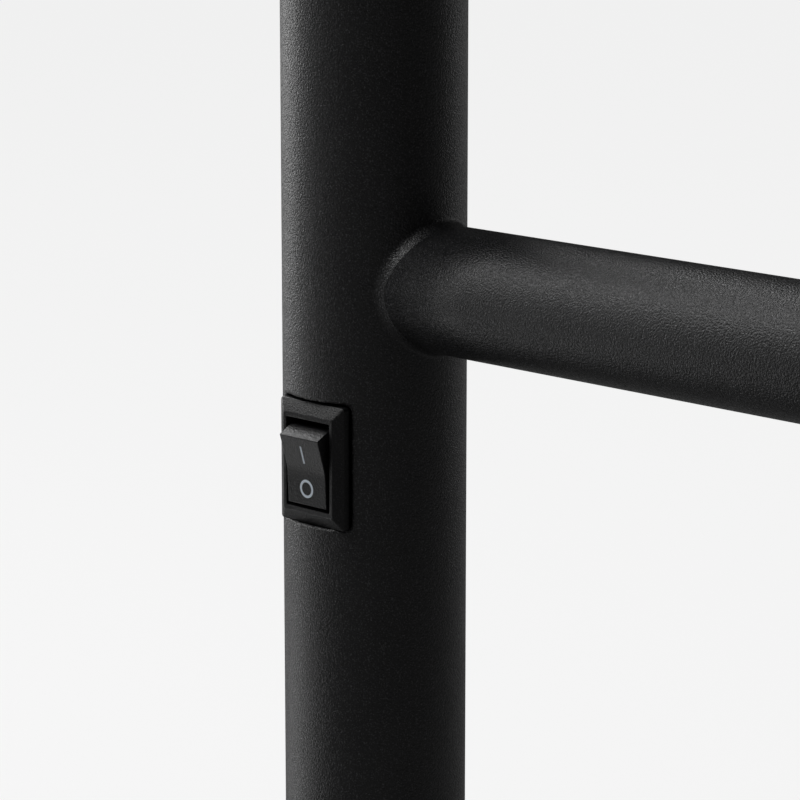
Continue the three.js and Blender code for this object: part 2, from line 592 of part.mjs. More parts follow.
// From the splice up behind the switch, to and fro through the rails, and back down the left upright.
function heatingCable() {
  const axis = -RACK.spacing / 2;
  const start = SPLICE.bottom + SPLICE.length + GAP;
  const [first, last] = [railHeights[0], railHeights[RAIL.count - 1]];
  const points = [
    [axis - columnOffset, columnOffset, start],
    [axis - columnOffset, columnOffset, first - 28],
    [axis - columnOffset, 0.75 * columnOffset, first - 19],
    [axis - 0.95 * columnOffset, 0.3 * columnOffset, first - 9],
    [axis - 0.6 * columnOffset, 0.05 * columnOffset, first - 2.5],
    [axis + 2, 0, first],
  ];
  railHeights.slice(0, -1).forEach((height, i) => {
    const side = i % 2 === 0 ? 1 : -1;
    points.push(...quarterBend(side, height, 1));
    points.push(...quarterBend(side, railHeights[i + 1], -1).reverse());
  });
  points.push(
    ...quarterBend(-1, last, -1),
    [axis - 0.7 * columnOffset, 0.4 * columnOffset, last - 24],
    [axis + 0.2 * columnOffset, 0.85 * columnOffset, last - 38],
    [axis + columnOffset, columnOffset, last - 54],
    [axis + columnOffset, columnOffset, start],
  );
  return sweep(new Route(points), CABLE.diameter, CABLE.sides, points.length - 1);
}

// The bend of a lead from the back of its boot down to the line along the upright's back wall.
function bootElbow(x, height) {
  const bootBack = BOOT.length + 2 * GAP - bodyBack;
  const bend = backLine - bootBack;
  return [0, 30, 60, 90].map((degrees) => {
    const angle = THREE.MathUtils.degToRad(degrees);
    return [x, bootBack + bend * Math.sin(angle), height - bend * (1 - Math.cos(angle))];
  });
}

function buildWiring(rack) {
  const group = new THREE.Group();
  group.position.x = -RACK.spacing / 2;
  rack.add(group);
  add(group, 'cable_gland', cableGland(), 'mouldedBlack');
  add(group, 'terminal_block', terminalBlock(), 'clearNylon');
  add(group, 'thermal_cutout', thermalCutOut(), 'aluminium');
  add(group, 'feed_splice', spliceSleeve(-1), 'clearNylon');
  add(group, 'return_splice', spliceSleeve(1), 'clearNylon');
  add(rack, 'heating_cable', heatingCable(), 'silicone');

  const blockTop = BLOCK.bottom + BLOCK.height;
  const wireStart = blockTop - BLOCK.holeDepth + 2;
  const blockMiddle = -BLOCK.depth / 2;
  const loadHeight = switchHeight - TAB.loadDrop;
  const tailEnd = CUTOUT.bottom + CUTOUT.length;
  add(group, 'live_lead', lead([
    [-BLOCK.pitch, blockMiddle, wireStart], [-BLOCK.pitch, blockMiddle, blockTop + 12], [-4, -2, 150],
    [-leadSide, 4, 170], [-leadSide, backLine - 2.5, 184], [-leadSide, backLine, switchHeight - 9],
    ...bootElbow(-leadSide, switchHeight).reverse(),
  ]), 'liveBrown');
  add(group, 'switched_lead', lead([
    ...bootElbow(leadSide, loadHeight), [leadSide, backLine, loadHeight - 9],
    [leadSide, backLine, CUTOUT.bottom + 6], [0.5, backLine - 0.6, CUTOUT.bottom - 6],
    [-3, 9.6, CUTOUT.bottom - 10.5], [-0.88 * columnOffset, 1.05 * columnOffset, CUTOUT.bottom - 7.5],
    [-columnOffset, columnOffset, CUTOUT.bottom - GAP],
  ]), 'liveBrown');
  add(group, 'neutral_lead', lead([
    [0, blockMiddle, wireStart], [0, blockMiddle, blockTop + 6], [3, -1, blockTop + 18],
    [columnOffset, columnOffset, tailEnd - 8], [columnOffset, columnOffset, tailEnd],
  ]), 'neutralBlue');
  const tongueHeight = plugTop + GAP;
  const barrelTop = tongueHeight + 9;
  add(group, 'earth_lead', lead([
    [BLOCK.pitch, blockMiddle, wireStart], [BLOCK.pitch, blockMiddle, blockTop + 3],
    [BLOCK.pitch + 2, -2, blockTop + 7], [10.3, 1.6, blockTop + 5], [10.6, 3.4, blockTop - 2],
    [10.6, 3.6, BLOCK.bottom], [9.6, 4.6, barrelTop + 8], [EARTH.offset, 6, barrelTop + 2],
    [EARTH.offset, 6, barrelTop + GAP],
  ]), 'earthGreen');
  add(group, 'earth_ring', earthRing(tongueHeight, barrelTop), 'brass');
  add(group, 'earth_screw', earthScrew(tongueHeight), 'zincSteel');
}

// A ring terminal on the plug, its tongue bent up into the barrel that holds the earth lead.
function earthRing(bottom, barrelTop) {
  const top = bottom + EARTH.thickness;
  const ring = rod('z', EARTH.ring / 2, bottom, top, { at: [EARTH.offset, 0] });
  const tongue = box([EARTH.offset - 1.5, 3, bottom], [EARTH.offset + 1.5, 6, top]);
  const barrel = rod('z', EARTH.barrel / 2, bottom, barrelTop, { at: [EARTH.offset, 6], sides: 16 });
  return cut(union(ring, tongue, barrel), rod('z', EARTH.hole / 2, bottom - PAST, top + PAST,
    { at: [EARTH.offset, 0] }));
}

function earthScrew(ringBottom) {
  const underHead = ringBottom + EARTH.thickness + GAP;
  const at = [EARTH.offset, 0];
  const shank = rod('z', EARTH.screw / 2 - 0.1, plugBottom + 6, underHead, { at });
  const head = rod('z', EARTH.head / 2 - 0.6, underHead, underHead + EARTH.headHeight,
    { at, endRadius: EARTH.head / 2 - 1.2 });
  const slot = box([EARTH.offset - EARTH.head, -0.5, underHead + EARTH.headHeight - 1],
    [EARTH.offset + EARTH.head, 0.5, underHead + EARTH.headHeight + PAST]);
  return cut(union(shank, head), slot);
}

// ---- The rack --------------------------------------------------------------------------------------------

const rack = new THREE.Group();
buildFrame(rack);
buildFoot(rack, 'left', -RACK.spacing / 2);
buildFoot(rack, 'right', RACK.spacing / 2);
buildSwitch(rack);
buildWiring(rack);

export default rack;
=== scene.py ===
"""Looks of a free-standing electric towel warmer rack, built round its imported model.

The tubes, beads, caps, pads and switch mouldings are surfaces worked out with numpy from the sizes of the
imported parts. Lengths in the code are metres, and sizes given in millimetres are multiplied by MM.
"""

import json
import logging
import math
from dataclasses import dataclass
from enum import Enum
from typing import Callable, ClassVar, Optional, Sequence

import bmesh
import bpy
import numpy as np
from mathutils import Matrix, Vector


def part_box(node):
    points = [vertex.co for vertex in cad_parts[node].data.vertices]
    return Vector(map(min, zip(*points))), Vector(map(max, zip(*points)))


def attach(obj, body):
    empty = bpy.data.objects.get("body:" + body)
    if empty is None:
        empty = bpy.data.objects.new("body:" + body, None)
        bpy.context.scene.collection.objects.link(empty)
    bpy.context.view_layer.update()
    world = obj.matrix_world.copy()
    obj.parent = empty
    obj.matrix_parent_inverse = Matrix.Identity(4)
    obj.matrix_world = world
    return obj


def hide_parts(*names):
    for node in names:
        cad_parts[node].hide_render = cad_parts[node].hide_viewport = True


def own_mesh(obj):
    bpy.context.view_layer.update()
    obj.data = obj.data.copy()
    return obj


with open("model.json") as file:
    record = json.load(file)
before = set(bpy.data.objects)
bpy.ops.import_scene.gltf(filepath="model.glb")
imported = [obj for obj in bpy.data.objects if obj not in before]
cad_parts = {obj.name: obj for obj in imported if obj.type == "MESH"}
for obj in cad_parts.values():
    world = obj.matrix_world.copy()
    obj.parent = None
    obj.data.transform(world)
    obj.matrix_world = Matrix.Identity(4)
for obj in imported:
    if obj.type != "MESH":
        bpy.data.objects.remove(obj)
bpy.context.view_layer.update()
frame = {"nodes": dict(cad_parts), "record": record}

LOG = logging.getLogger("towel_warmer")
MM = 0.001
TURN = 2.0 * math.pi

PATCH_GRAINS = 25.0  # width of a patch of colour, in grains
GLINT_GRAINS = 0.8  # width of a painted glint, in grains
GRAIN_SHARE = 0.6  # how much single grains count in the colour, next to patches
BRUSH_STRETCH = 0.06  # how much slower a brushed grain changes along the brushing
TONE_BAND = (0.55, 1.05)  # levels of grain and patches together over which the colour changes
ROUGH_BAND = (0.35, 0.65)  # levels of the grain over which the roughness changes
GLINT_BAND = (0.56, 0.84)  # levels of the finest noise over which a painted glint comes up
SIDE_STEPS = 6  # steps along each side of a rectangle with round corners
CORNER_STEPS = 8  # steps round each of its corners


# ---- Colours and nodes -----------------------------------------------------------------------------------


def linear(colour: str) -> tuple[float, float, float, float]:
    """Turns an sRGB hex colour into the linear colour that shaders take.

    Args:
        colour: Six hex digits, such as "1b1b1c".

    Returns:
        Linear red, green, blue and an alpha of 1.
    """
    parts = [int(colour[i : i + 2], 16) / 255 for i in (0, 2, 4)]
    flat = [c / 12.92 if c <= 0.04045 else ((c + 0.055) / 1.055) ** 2.4 for c in parts]
    return (flat[0], flat[1], flat[2], 1.0)


def add_node(
    tree: bpy.types.NodeTree,
    kind: str,
    links: Optional[dict[str, bpy.types.NodeSocket]] = None,
    values: Optional[dict[str, object]] = None,
    **settings: object,
) -> bpy.types.Node:
    """Adds a node to a tree with its settings, socket values and links.

    Args:
        tree: The node tree that takes the node.
        kind: The node's type, such as "ShaderNodeBump".
        links: Output sockets to link, by the name of the input that takes each.
        values: Values to set, by the name of the input.
        **settings: Properties of the node itself.

    Returns:
        The new node.
    """
    node = tree.nodes.new(kind)
    for name, value in settings.items():
        setattr(node, name, value)
    for name, value in (values or {}).items():
        node.inputs[name].default_value = value
    for name, socket in (links or {}).items():
        tree.links.new(socket, node.inputs[name])
    return node


def banded(
    tree: bpy.types.NodeTree,
    value: bpy.types.NodeSocket,
    band: tuple[float, float],
    to: tuple[float, float] = (0.0, 1.0),
    **settings: object,
) -> bpy.types.NodeSocket:
    """Carries a band of a value's levels onto another range and holds it beyond, and returns the socket."""
    ends = {"From Min": band[0], "From Max": band[1], "To Min": to[0], "To Max": to[1]}
    return add_node(tree, "ShaderNodeMapRange", {"Value": value}, ends, **settings).outputs["Result"]


class Grain(Enum):
    """How the fine relief of a finish is laid on the surface."""

    PEBBLED = "pebbled"
    BRUSHED = "brushed"


@dataclass(frozen=True)
class Finish:
    """A finish made of one shader, a colour that wavers a little, and a fine relief.

    Attributes:
        name: What the finish is called.
        slot: The material slot of the record that it stands for.
        colour: sRGB hex of the main colour.
        colour_other: sRGB hex of the colour that it wavers to.
        roughness: Lowest and highest roughness over the surface.
        metallic: 0 for a paint or plastic and 1 for a bare metal.
        grain: How the relief is laid.
        grain_mm: Width of one grain.
        relief_mm: Height of the relief.
        painted_glint: sRGB hex of pale speckles painted among the grains as glints, or "" for none.
        specular: Specular level of the shader.
    """

    name: str
    slot: str
    colour: str
    colour_other: str
    roughness: tuple[float, float]
    metallic: float = 0.0
    grain: Grain = Grain.PEBBLED
    grain_mm: float = 0.4
    relief_mm: float = 0.02
    painted_glint: str = ""
    specular: float = 0.5

    def build(self) -> bpy.types.Material:
        """Makes the material.

        A noise of the grain's width drives relief and roughness. Together with a noise of wide patches it
        drives the colour.

        Returns:
            The new material.
        """
        material = bpy.data.materials.new(self.name)
        material.use_nodes = True
        tree = material.node_tree
        shader = tree.nodes["Principled BSDF"]
        shader.inputs["Metallic"].default_value = self.metallic
        shader.inputs["Specular IOR Level"].default_value = self.specular
        place = add_node(tree, "ShaderNodeTexCoord").outputs["Object"]
        if self.grain is Grain.BRUSHED:
            stretch = {"Scale": (1.0, 1.0, BRUSH_STRETCH)}
            place = add_node(tree, "ShaderNodeMapping", {"Vector": place}, stretch).outputs["Vector"]
        coarse = self._noise(tree, place, 1.0, {"Detail": 1.0, "Roughness": 0.5})
        patches = self._noise(tree, place, PATCH_GRAINS, {"Detail": 3.0, "Roughness": 0.55})
        mixed = add_node(tree, "ShaderNodeMath", operation="MULTIPLY_ADD")
        tree.links.new(coarse, mixed.inputs[0])
        mixed.inputs[1].default_value = GRAIN_SHARE
        tree.links.new(patches, mixed.inputs[2])
        tone = banded(tree, mixed.outputs[0], TONE_BAND)
        colour = add_node(tree, "ShaderNodeMix", {"Factor": tone}, data_type="RGBA")
        colour.inputs[6].default_value = linear(self.colour)
        colour.inputs[7].default_value = linear(self.colour_other)
        shade = colour.outputs[2]
        # Pale speckles painted into the colour stand in for glints of single grains.
        if self.painted_glint:
            shade = self._paint_glints(tree, place, shade)
        tree.links.new(shade, shader.inputs["Base Color"])
        tree.links.new(banded(tree, coarse, ROUGH_BAND, self.roughness), shader.inputs["Roughness"])
        depth = {"Strength": 1.0, "Distance": self.relief_mm * MM}
        bump = add_node(tree, "ShaderNodeBump", {"Height": coarse}, depth)
        tree.links.new(bump.outputs["Normal"], shader.inputs["Normal"])
        return material

    def _noise(
        self, tree: bpy.types.NodeTree, place: bpy.types.NodeSocket, grains: float, values: dict[str, float]
    ) -> bpy.types.NodeSocket:
        """Adds a noise whose lumps are a number of grains wide, and returns the socket with its level."""
        scale = {"Scale": 1.0 / (grains * self.grain_mm * MM)}
        return add_node(tree, "ShaderNodeTexNoise", {"Vector": place}, scale | values).outputs["Fac"]

    def _paint_glints(
        self, tree: bpy.types.NodeTree, place: bpy.types.NodeSocket, shade: bpy.types.NodeSocket
    ) -> bpy.types.NodeSocket:
        """Paints pale speckles over a colour where a fine noise peaks, as glints of single grains.

        Args:
            tree: The material's node tree.
            place: Socket with the place on the piece.
            shade: Socket with the colour under the painted glints.

        Returns:
            Socket with the colour and its painted glints.
        """
        fine = self._noise(tree, place, GLINT_GRAINS, {"Detail": 0.0})
        mixed = add_node(tree, "ShaderNodeMix", {"Factor": banded(tree, fine, GLINT_BAND)}, data_type="RGBA")
        tree.links.new(shade, mixed.inputs[6])
        mixed.inputs[7].default_value = linear(self.painted_glint)
        return mixed.outputs[2]


# Polyester powder sprayed on steel and baked: matt, nearly black, with a sandy skin whose single grains
# catch a low light. Pale speckles in its colour are painted glints of those grains.
POWDER_COAT = Finish(
    "fine_texture_powder_coat", "powder_coat", "151516", "1c1c1d", (0.28, 0.5),
    grain_mm=0.32, relief_mm=0.155, painted_glint="48484a",
)
# Nylon moulded in a spark-eroded tool: a shallower, even grain and a slightly silky face, with pale speckles
# painted in its colour as glints.
MOULDED_NYLON = Finish(
    "spark_grained_nylon", "moulded_black", "101011", "161617", (0.3, 0.42),
    grain_mm=0.28, relief_mm=0.08, painted_glint="2e2e30", specular=0.3,
)
# Pale grey ink printed on the rocker's face: flat, slightly chalky.
PAD_PRINT = Finish(
    "pad_printed_ink", "switch_marks", "cbd5e0", "d8e1ea", (0.5, 0.6), grain_mm=0.12, relief_mm=0.002,
)
# Moulded nitrile rubber: dull and dusty.
RUBBER = Finish("nitrile_rubber", "rubber", "151515", "1e1d1c", (0.72, 0.85), grain_mm=0.5, relief_mm=0.02)
# Bright zinc on turned steel.
ZINC = Finish(
    "bright_zinc_plate", "zinc_steel", "b9bcc0", "cfd1d3", (0.24, 0.36), metallic=1.0,
    grain=Grain.BRUSHED, grain_mm=0.2, relief_mm=0.004,
)
# Hard steel wire, drawn bright and left bare: grey with a fine line along it.
SPRING_WIRE = Finish(
    "drawn_spring_wire", "spring_steel", "8f9296", "a5a8ab", (0.28, 0.38), metallic=1.0,
    grain=Grain.BRUSHED, grain_mm=0.1, relief_mm=0.002,
)
# Brass strip, blanked and bent: yellow, with the roll's fine lines.
BRASS = Finish(
    "stamped_brass", "brass", "c79e4e", "d9b872", (0.26, 0.4), metallic=1.0,
    grain=Grain.BRUSHED, grain_mm=0.2, relief_mm=0.003,
)
# Deep-drawn aluminium can: pale, with faint draw lines.
ALUMINIUM = Finish(
    "drawn_aluminium", "aluminium", "c3c6c9", "d6d8da", (0.3, 0.42), metallic=1.0,
    grain=Grain.BRUSHED, grain_mm=0.2, relief_mm=0.003,
)
# Extruded silicone rubber: even, brick red and slightly satin.
SILICONE = Finish(
    "silicone_jacket", "silicone", "9c3226", "ab4030", (0.5, 0.6), grain_mm=0.6, relief_mm=0.01
)
# Uncoloured nylon: milky and a little waxy.
CLEAR_NYLON = Finish(
    "natural_nylon", "clear_nylon", "d5d2c8", "dfdcd3", (0.4, 0.5), grain_mm=0.5, relief_mm=0.01
)
# Extruded insulation in the mains colours: smooth, with a soft shine.
BROWN_WIRE = Finish("brown_insulation", "live_brown", "66391d", "724326", (0.4, 0.5), relief_mm=0.004)
BLUE_WIRE = Finish("blue_insulation", "neutral_blue", "2b5eae", "3469b8", (0.4, 0.5), relief_mm=0.004)
GREEN_WIRE = Finish("green_insulation", "earth_green", "47882f", "559640", (0.4, 0.5), relief_mm=0.004)
FINISHES = (
    POWDER_COAT, MOULDED_NYLON, PAD_PRINT, RUBBER, ZINC, SPRING_WIRE, BRASS, ALUMINIUM, SILICONE,
    CLEAR_NYLON, BROWN_WIRE, BLUE_WIRE, GREEN_WIRE,
)


class Paintbox:
    """The finished materials, by record slot."""

    def __init__(self, finishes: Sequence[Finish]) -> None:
        """Builds every finish once."""
        self.by_slot = {finish.slot: finish.build() for finish in finishes}

    def dress(self, piece: bpy.types.Object, slot: str) -> None:
        """Gives a piece the one material of a slot."""
        piece.data.materials.clear()
        piece.data.materials.append(self.by_slot[slot])


# ---- Surfaces --------------------------------------------------------------------------------------------


def grid_faces(rows: int, columns: int, wrap_rows: bool = False, wrap_columns: bool = False) -> np.ndarray:
    """Quads over a grid of points stored row by row.

    Args:
        rows: Number of rows of points.
        columns: Number of points in a row.
        wrap_rows: Joins the last row to the first.
        wrap_columns: Joins the end of each row to its start.

    Returns:
        An (n, 4) array of point numbers, turning from a row towards the next column and then the next row.
    """
    i = np.arange(rows if wrap_rows else rows - 1)[:, None]
    j = np.arange(columns if wrap_columns else columns - 1)[None, :]
    right, up = (j + 1) % columns, (i + 1) % rows
    quads = [i * columns + j, i * columns + right, up * columns + right, up * columns + j]
    return np.stack([np.broadcast_to(q, (i.shape[0], j.shape[1])) for q in quads], axis=-1).reshape(-1, 4)


@dataclass
class Sheet:
    """Points and faces that are still to become a piece."""

    points: np.ndarray
    faces: list[tuple[int, ...]]

    def __add__(self, other: "Sheet") -> "Sheet":
        """Puts two sheets together in one.

        Args:
            other: The sheet to add, whose faces are counted on from this one's points.

        Returns:
            The sheet that holds both.
        """
        shift = len(self.points)
        moved = [tuple(int(n) + shift for n in face) for face in other.faces]
        return Sheet(np.vstack([self.points, other.points]), list(self.faces) + moved)

    def moved(self, matrix: Matrix) -> "Sheet":
        """The same sheet carried through a matrix."""
        turn = np.array(matrix.to_3x3())
        return Sheet(self.points @ turn.T + np.array(matrix.translation), self.faces)


def grid_sheet(points: np.ndarray, wrap_rows: bool = False, wrap_columns: bool = False) -> Sheet:
    """A sheet over a grid of points.

    Args:
        points: (rows, columns, 3) array.
        wrap_rows: Joins the last row to the first.
        wrap_columns: Joins the end of each row to its start.

    Returns:
        The sheet, with a quad in every cell of the grid.
    """
    rows, columns = points.shape[:2]
    faces = grid_faces(rows, columns, wrap_rows, wrap_columns)
    return Sheet(points.reshape(-1, 3), [tuple(face) for face in faces])


def capped(points: np.ndarray) -> Sheet:
    """A stack of closed loops with a flat face over the first and the last loop.

    Args:
        points: (rows, columns, 3) array with a loop in each row.

    Returns:
        The closed sheet.
    """
    rows, columns = points.shape[:2]
    sheet = grid_sheet(points, wrap_columns=True)
    first = tuple(range(columns))[::-1]
    last = tuple((rows - 1) * columns + n for n in range(columns))
    return Sheet(sheet.points, sheet.faces + [first, last])


def round_steps(count: int) -> np.ndarray:
    """Angles of equal steps round a full turn, from zero."""
    return np.arange(count) * TURN / count


def revolved(profile: np.ndarray, sides: int, across: Vector, along: Vector, centre: Vector) -> Sheet:
    """A profile turned round an axis: radius(i) * (across cos a + side sin a) + distance(i) * along.

    Args:
        profile: (n, 2) array of radius and distance along the axis.
        sides: Points round the turn.
        across: Direction of angle zero.
        along: Direction of the axis.
        centre: Point of the axis at distance zero.

    Returns:
        The turned sheet, with flat faces over its ends.
    """
    side = along.cross(across)
    angle = round_steps(sides)
    ring = np.outer(np.cos(angle), across) + np.outer(np.sin(angle), side)
    points = profile[:, None, 0:1] * ring[None] + profile[:, None, 1:2] * np.array(along) + np.array(centre)
    return capped(points)


def rounded_loop(half_width: float, half_height: float, corner: float) -> np.ndarray:
    """Outline of a rectangle with round corners, anticlockwise.

    Each corner is a quarter circle of the given radius, and the sides between are cut into equal steps.

    Args:
        half_width: Half its width.
        half_height: Half its height.
        corner: Radius of its corners.

    Returns:
        An (n, 2) array, whose length doesn't depend on the sizes.
    """
    x, y = half_width - corner, half_height - corner
    turn = np.linspace(0.0, math.pi / 2, CORNER_STEPS + 1)
    points = []
    for quarter, (cx, cy) in enumerate(((x, y), (-x, y), (-x, -y), (x, -y))):
        angle = turn + quarter * math.pi / 2
        arc = np.stack([cx + corner * np.cos(angle), cy + corner * np.sin(angle)], axis=1)
        nx, ny = ((-x, y), (-x, -y), (x, -y), (x, y))[quarter]
        nudge = corner * np.array([math.cos(angle[-1]), math.sin(angle[-1])])
        far = np.array([nx, ny]) + nudge
        share = np.linspace(0.0, 1.0, SIDE_STEPS + 1)[1:-1, None]
        points += [arc, arc[-1] * (1 - share) + far * share]
    return np.vstack(points)


def quarter_round(r_from: float, t_from: float, r_to: float, t_to: float, steps: int) -> np.ndarray:
    """Quarter ellipse between two profile points, square to the axis at the first and along it at the last.

    Args:
        r_from: Radius of the first point.
        t_from: Its distance along the axis.
        r_to: Radius of the last point.
        t_to: Its distance along the axis.
        steps: Steps between them.

    Returns:
        A (steps + 1, 2) array of radius and distance.
    """
    a = np.linspace(0.0, math.pi / 2, steps + 1)
    radius = r_from + (r_to - r_from) * np.sin(a)
    return np.stack([radius, t_from + (t_to - t_from) * (1 - np.cos(a))], axis=1)


class Wall(Enum):
    """Whether a sheet is a closed shell or the skin of a wall."""

    SHELL = "shell"
    SKIN = "skin"


def make_piece(
    name: str, sheet: Sheet, wall: Wall = Wall.SHELL, sharp_degrees: float = 35.0
) -> bpy.types.Object:
    """Turns a sheet into an object with its doubles merged and smooth shading.

    Args:
        name: Name of the piece.
        sheet: Its points and faces, in the rack's frame.
        wall: A shell has its faces turned outwards; a skin keeps the way its faces turn.
        sharp_degrees: Edges that turn by more than this stay sharp.

    Returns:
        The new object, at the origin.
    """
    mesh = bpy.data.meshes.new(name)
    mesh.from_pydata(sheet.points.tolist(), [], [tuple(int(n) for n in face) for face in sheet.faces])
    work = bmesh.new()
    work.from_mesh(mesh)
    bmesh.ops.remove_doubles(work, verts=work.verts, dist=1e-7)
    bmesh.ops.dissolve_degenerate(work, edges=work.edges, dist=1e-8)
    if wall is Wall.SHELL:
        bmesh.ops.recalc_face_normals(work, faces=work.faces)
    work.to_mesh(mesh)
    work.free()
    mesh.shade_smooth()
    mesh.set_sharp_from_angle(angle=math.radians(sharp_degrees))
    piece = bpy.data.objects.new(name, mesh)
    bpy.context.scene.collection.objects.link(piece)
    return piece


def settle(piece: bpy.types.Object, body: str, slot: str, paint: Paintbox, *nodes: str) -> None:
    """Dresses a piece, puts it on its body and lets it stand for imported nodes.

    Args:
        piece: The new piece.
        body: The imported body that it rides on.
        slot: The record slot of its finish.
        paint: The finished materials.
        *nodes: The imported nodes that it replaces.
    """
    paint.dress(piece, slot)
    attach(piece, body)
    if nodes:
        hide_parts(*nodes)
    LOG.info("%s: %d faces on %s", piece.name, len(piece.data.polygons), body)


def coated_tube(node: str, surface: Sheet, wall: float, paint: Paintbox) -> None:
    """Makes a tube of the frame, whose wall goes inwards from its surface with a rim round every edge.

    Args:
        node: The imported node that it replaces.
        surface: Its outer surface, open at its ends.
        wall: Thickness of its wall.
        paint: The finished materials.
    """
    piece = make_piece(f"{node}_tube", surface, Wall.SKIN)
    solid = piece.modifiers.new("wall", "SOLIDIFY")
    solid.thickness = wall
    solid.offset = -1.0
    solid.use_rim = True
    solid.use_even_offset = True
    settle(piece, "rack", "powder_coat", paint, node)


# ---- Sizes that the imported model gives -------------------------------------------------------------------


def centre_of(node: str) -> Vector:
    """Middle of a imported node's box."""
    low, high = (Vector(corner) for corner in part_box(node))
    return (low + high) / 2


def extent_of(node: str) -> Vector:
    """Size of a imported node's box along X, Y and Z."""
    low, high = (Vector(corner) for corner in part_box(node))
    return high - low


UPRIGHT_RADIUS = extent_of("left_upright").x / 2
RAIL_RADIUS = extent_of("rail_1").z / 2
FOOT_RADIUS = extent_of("left_foot").x / 2
FOOT_AXIS = centre_of("left_foot").z
LEFT_AXIS = centre_of("left_upright").x
RIGHT_AXIS = centre_of("right_upright").x
RAIL_COUNT = sum(1 for name in frame["nodes"] if name.startswith("rail_"))
SWITCH_CENTRE = centre_of("switch_housing").z


# ---- Tubes -----------------------------------------------------------------------------------------------


@dataclass(frozen=True)
class Window:
    """A round-cornered opening in a tube's wall, seen square on.

    Attributes:
        half_width: Half its width across the tube.
        low: Its lower end along the tube.
        high: Its upper end along the tube.
        corner: Radius of its corners.
        facing: Angle round the tube that it faces.
        margin: Width of the patch of rings round it.
        patch: Number of steps across and along it.
        ragged: How far the coated edge strays from a clean line.
    """

    half_width: float
    low: float
    high: float
    corner: float
    facing: float = 0.0
    margin: float = 2.5 * MM
    patch: tuple[int, int] = (32, 32)
    ragged: float = 0.0

    def half_angle(self, radius: float) -> float:
        """Half the angle that the opening and its patch take of a tube of this radius."""
        return math.asin((self.half_width + self.margin) / radius)

    def span(self) -> tuple[float, float]:
        """The lower and the upper end of the patch."""
        return self.low - self.margin, self.high + self.margin

    def outline(self, across: np.ndarray, along: np.ndarray) -> tuple[np.ndarray, np.ndarray]:
        """Carries the edge of a square onto the opening's edge.

        A point is laid on the plain rectangle, drawn back to the rectangle that is smaller by the corner
        radius, and pushed out again by that radius, which rounds the corners. A ragged edge adds a few sines
        of the angle round the opening to that radius.

        Args:
            across: Places on the square's edge across the tube, from -1 to 1.
            along: The same along the tube.

        Returns:
            Distances across and along the tube.
        """
        middle, half = (self.low + self.high) / 2, (self.high - self.low) / 2
        x, t = across * self.half_width, along * half
        held_x = np.clip(x, self.corner - self.half_width, self.half_width - self.corner)
        held_t = np.clip(t, self.corner - half, half - self.corner)
        turn = np.arctan2(t, x)
        waves = np.sin(23 * turn) + 0.7 * np.sin(41 * turn + 1) + 0.5 * np.sin(67 * turn + 2)
        stray = self.ragged * waves / 2
        push = (self.corner + stray) / np.hypot(x - held_x, t - held_t)
        return held_x + (x - held_x) * push, middle + held_t + (t - held_t) * push


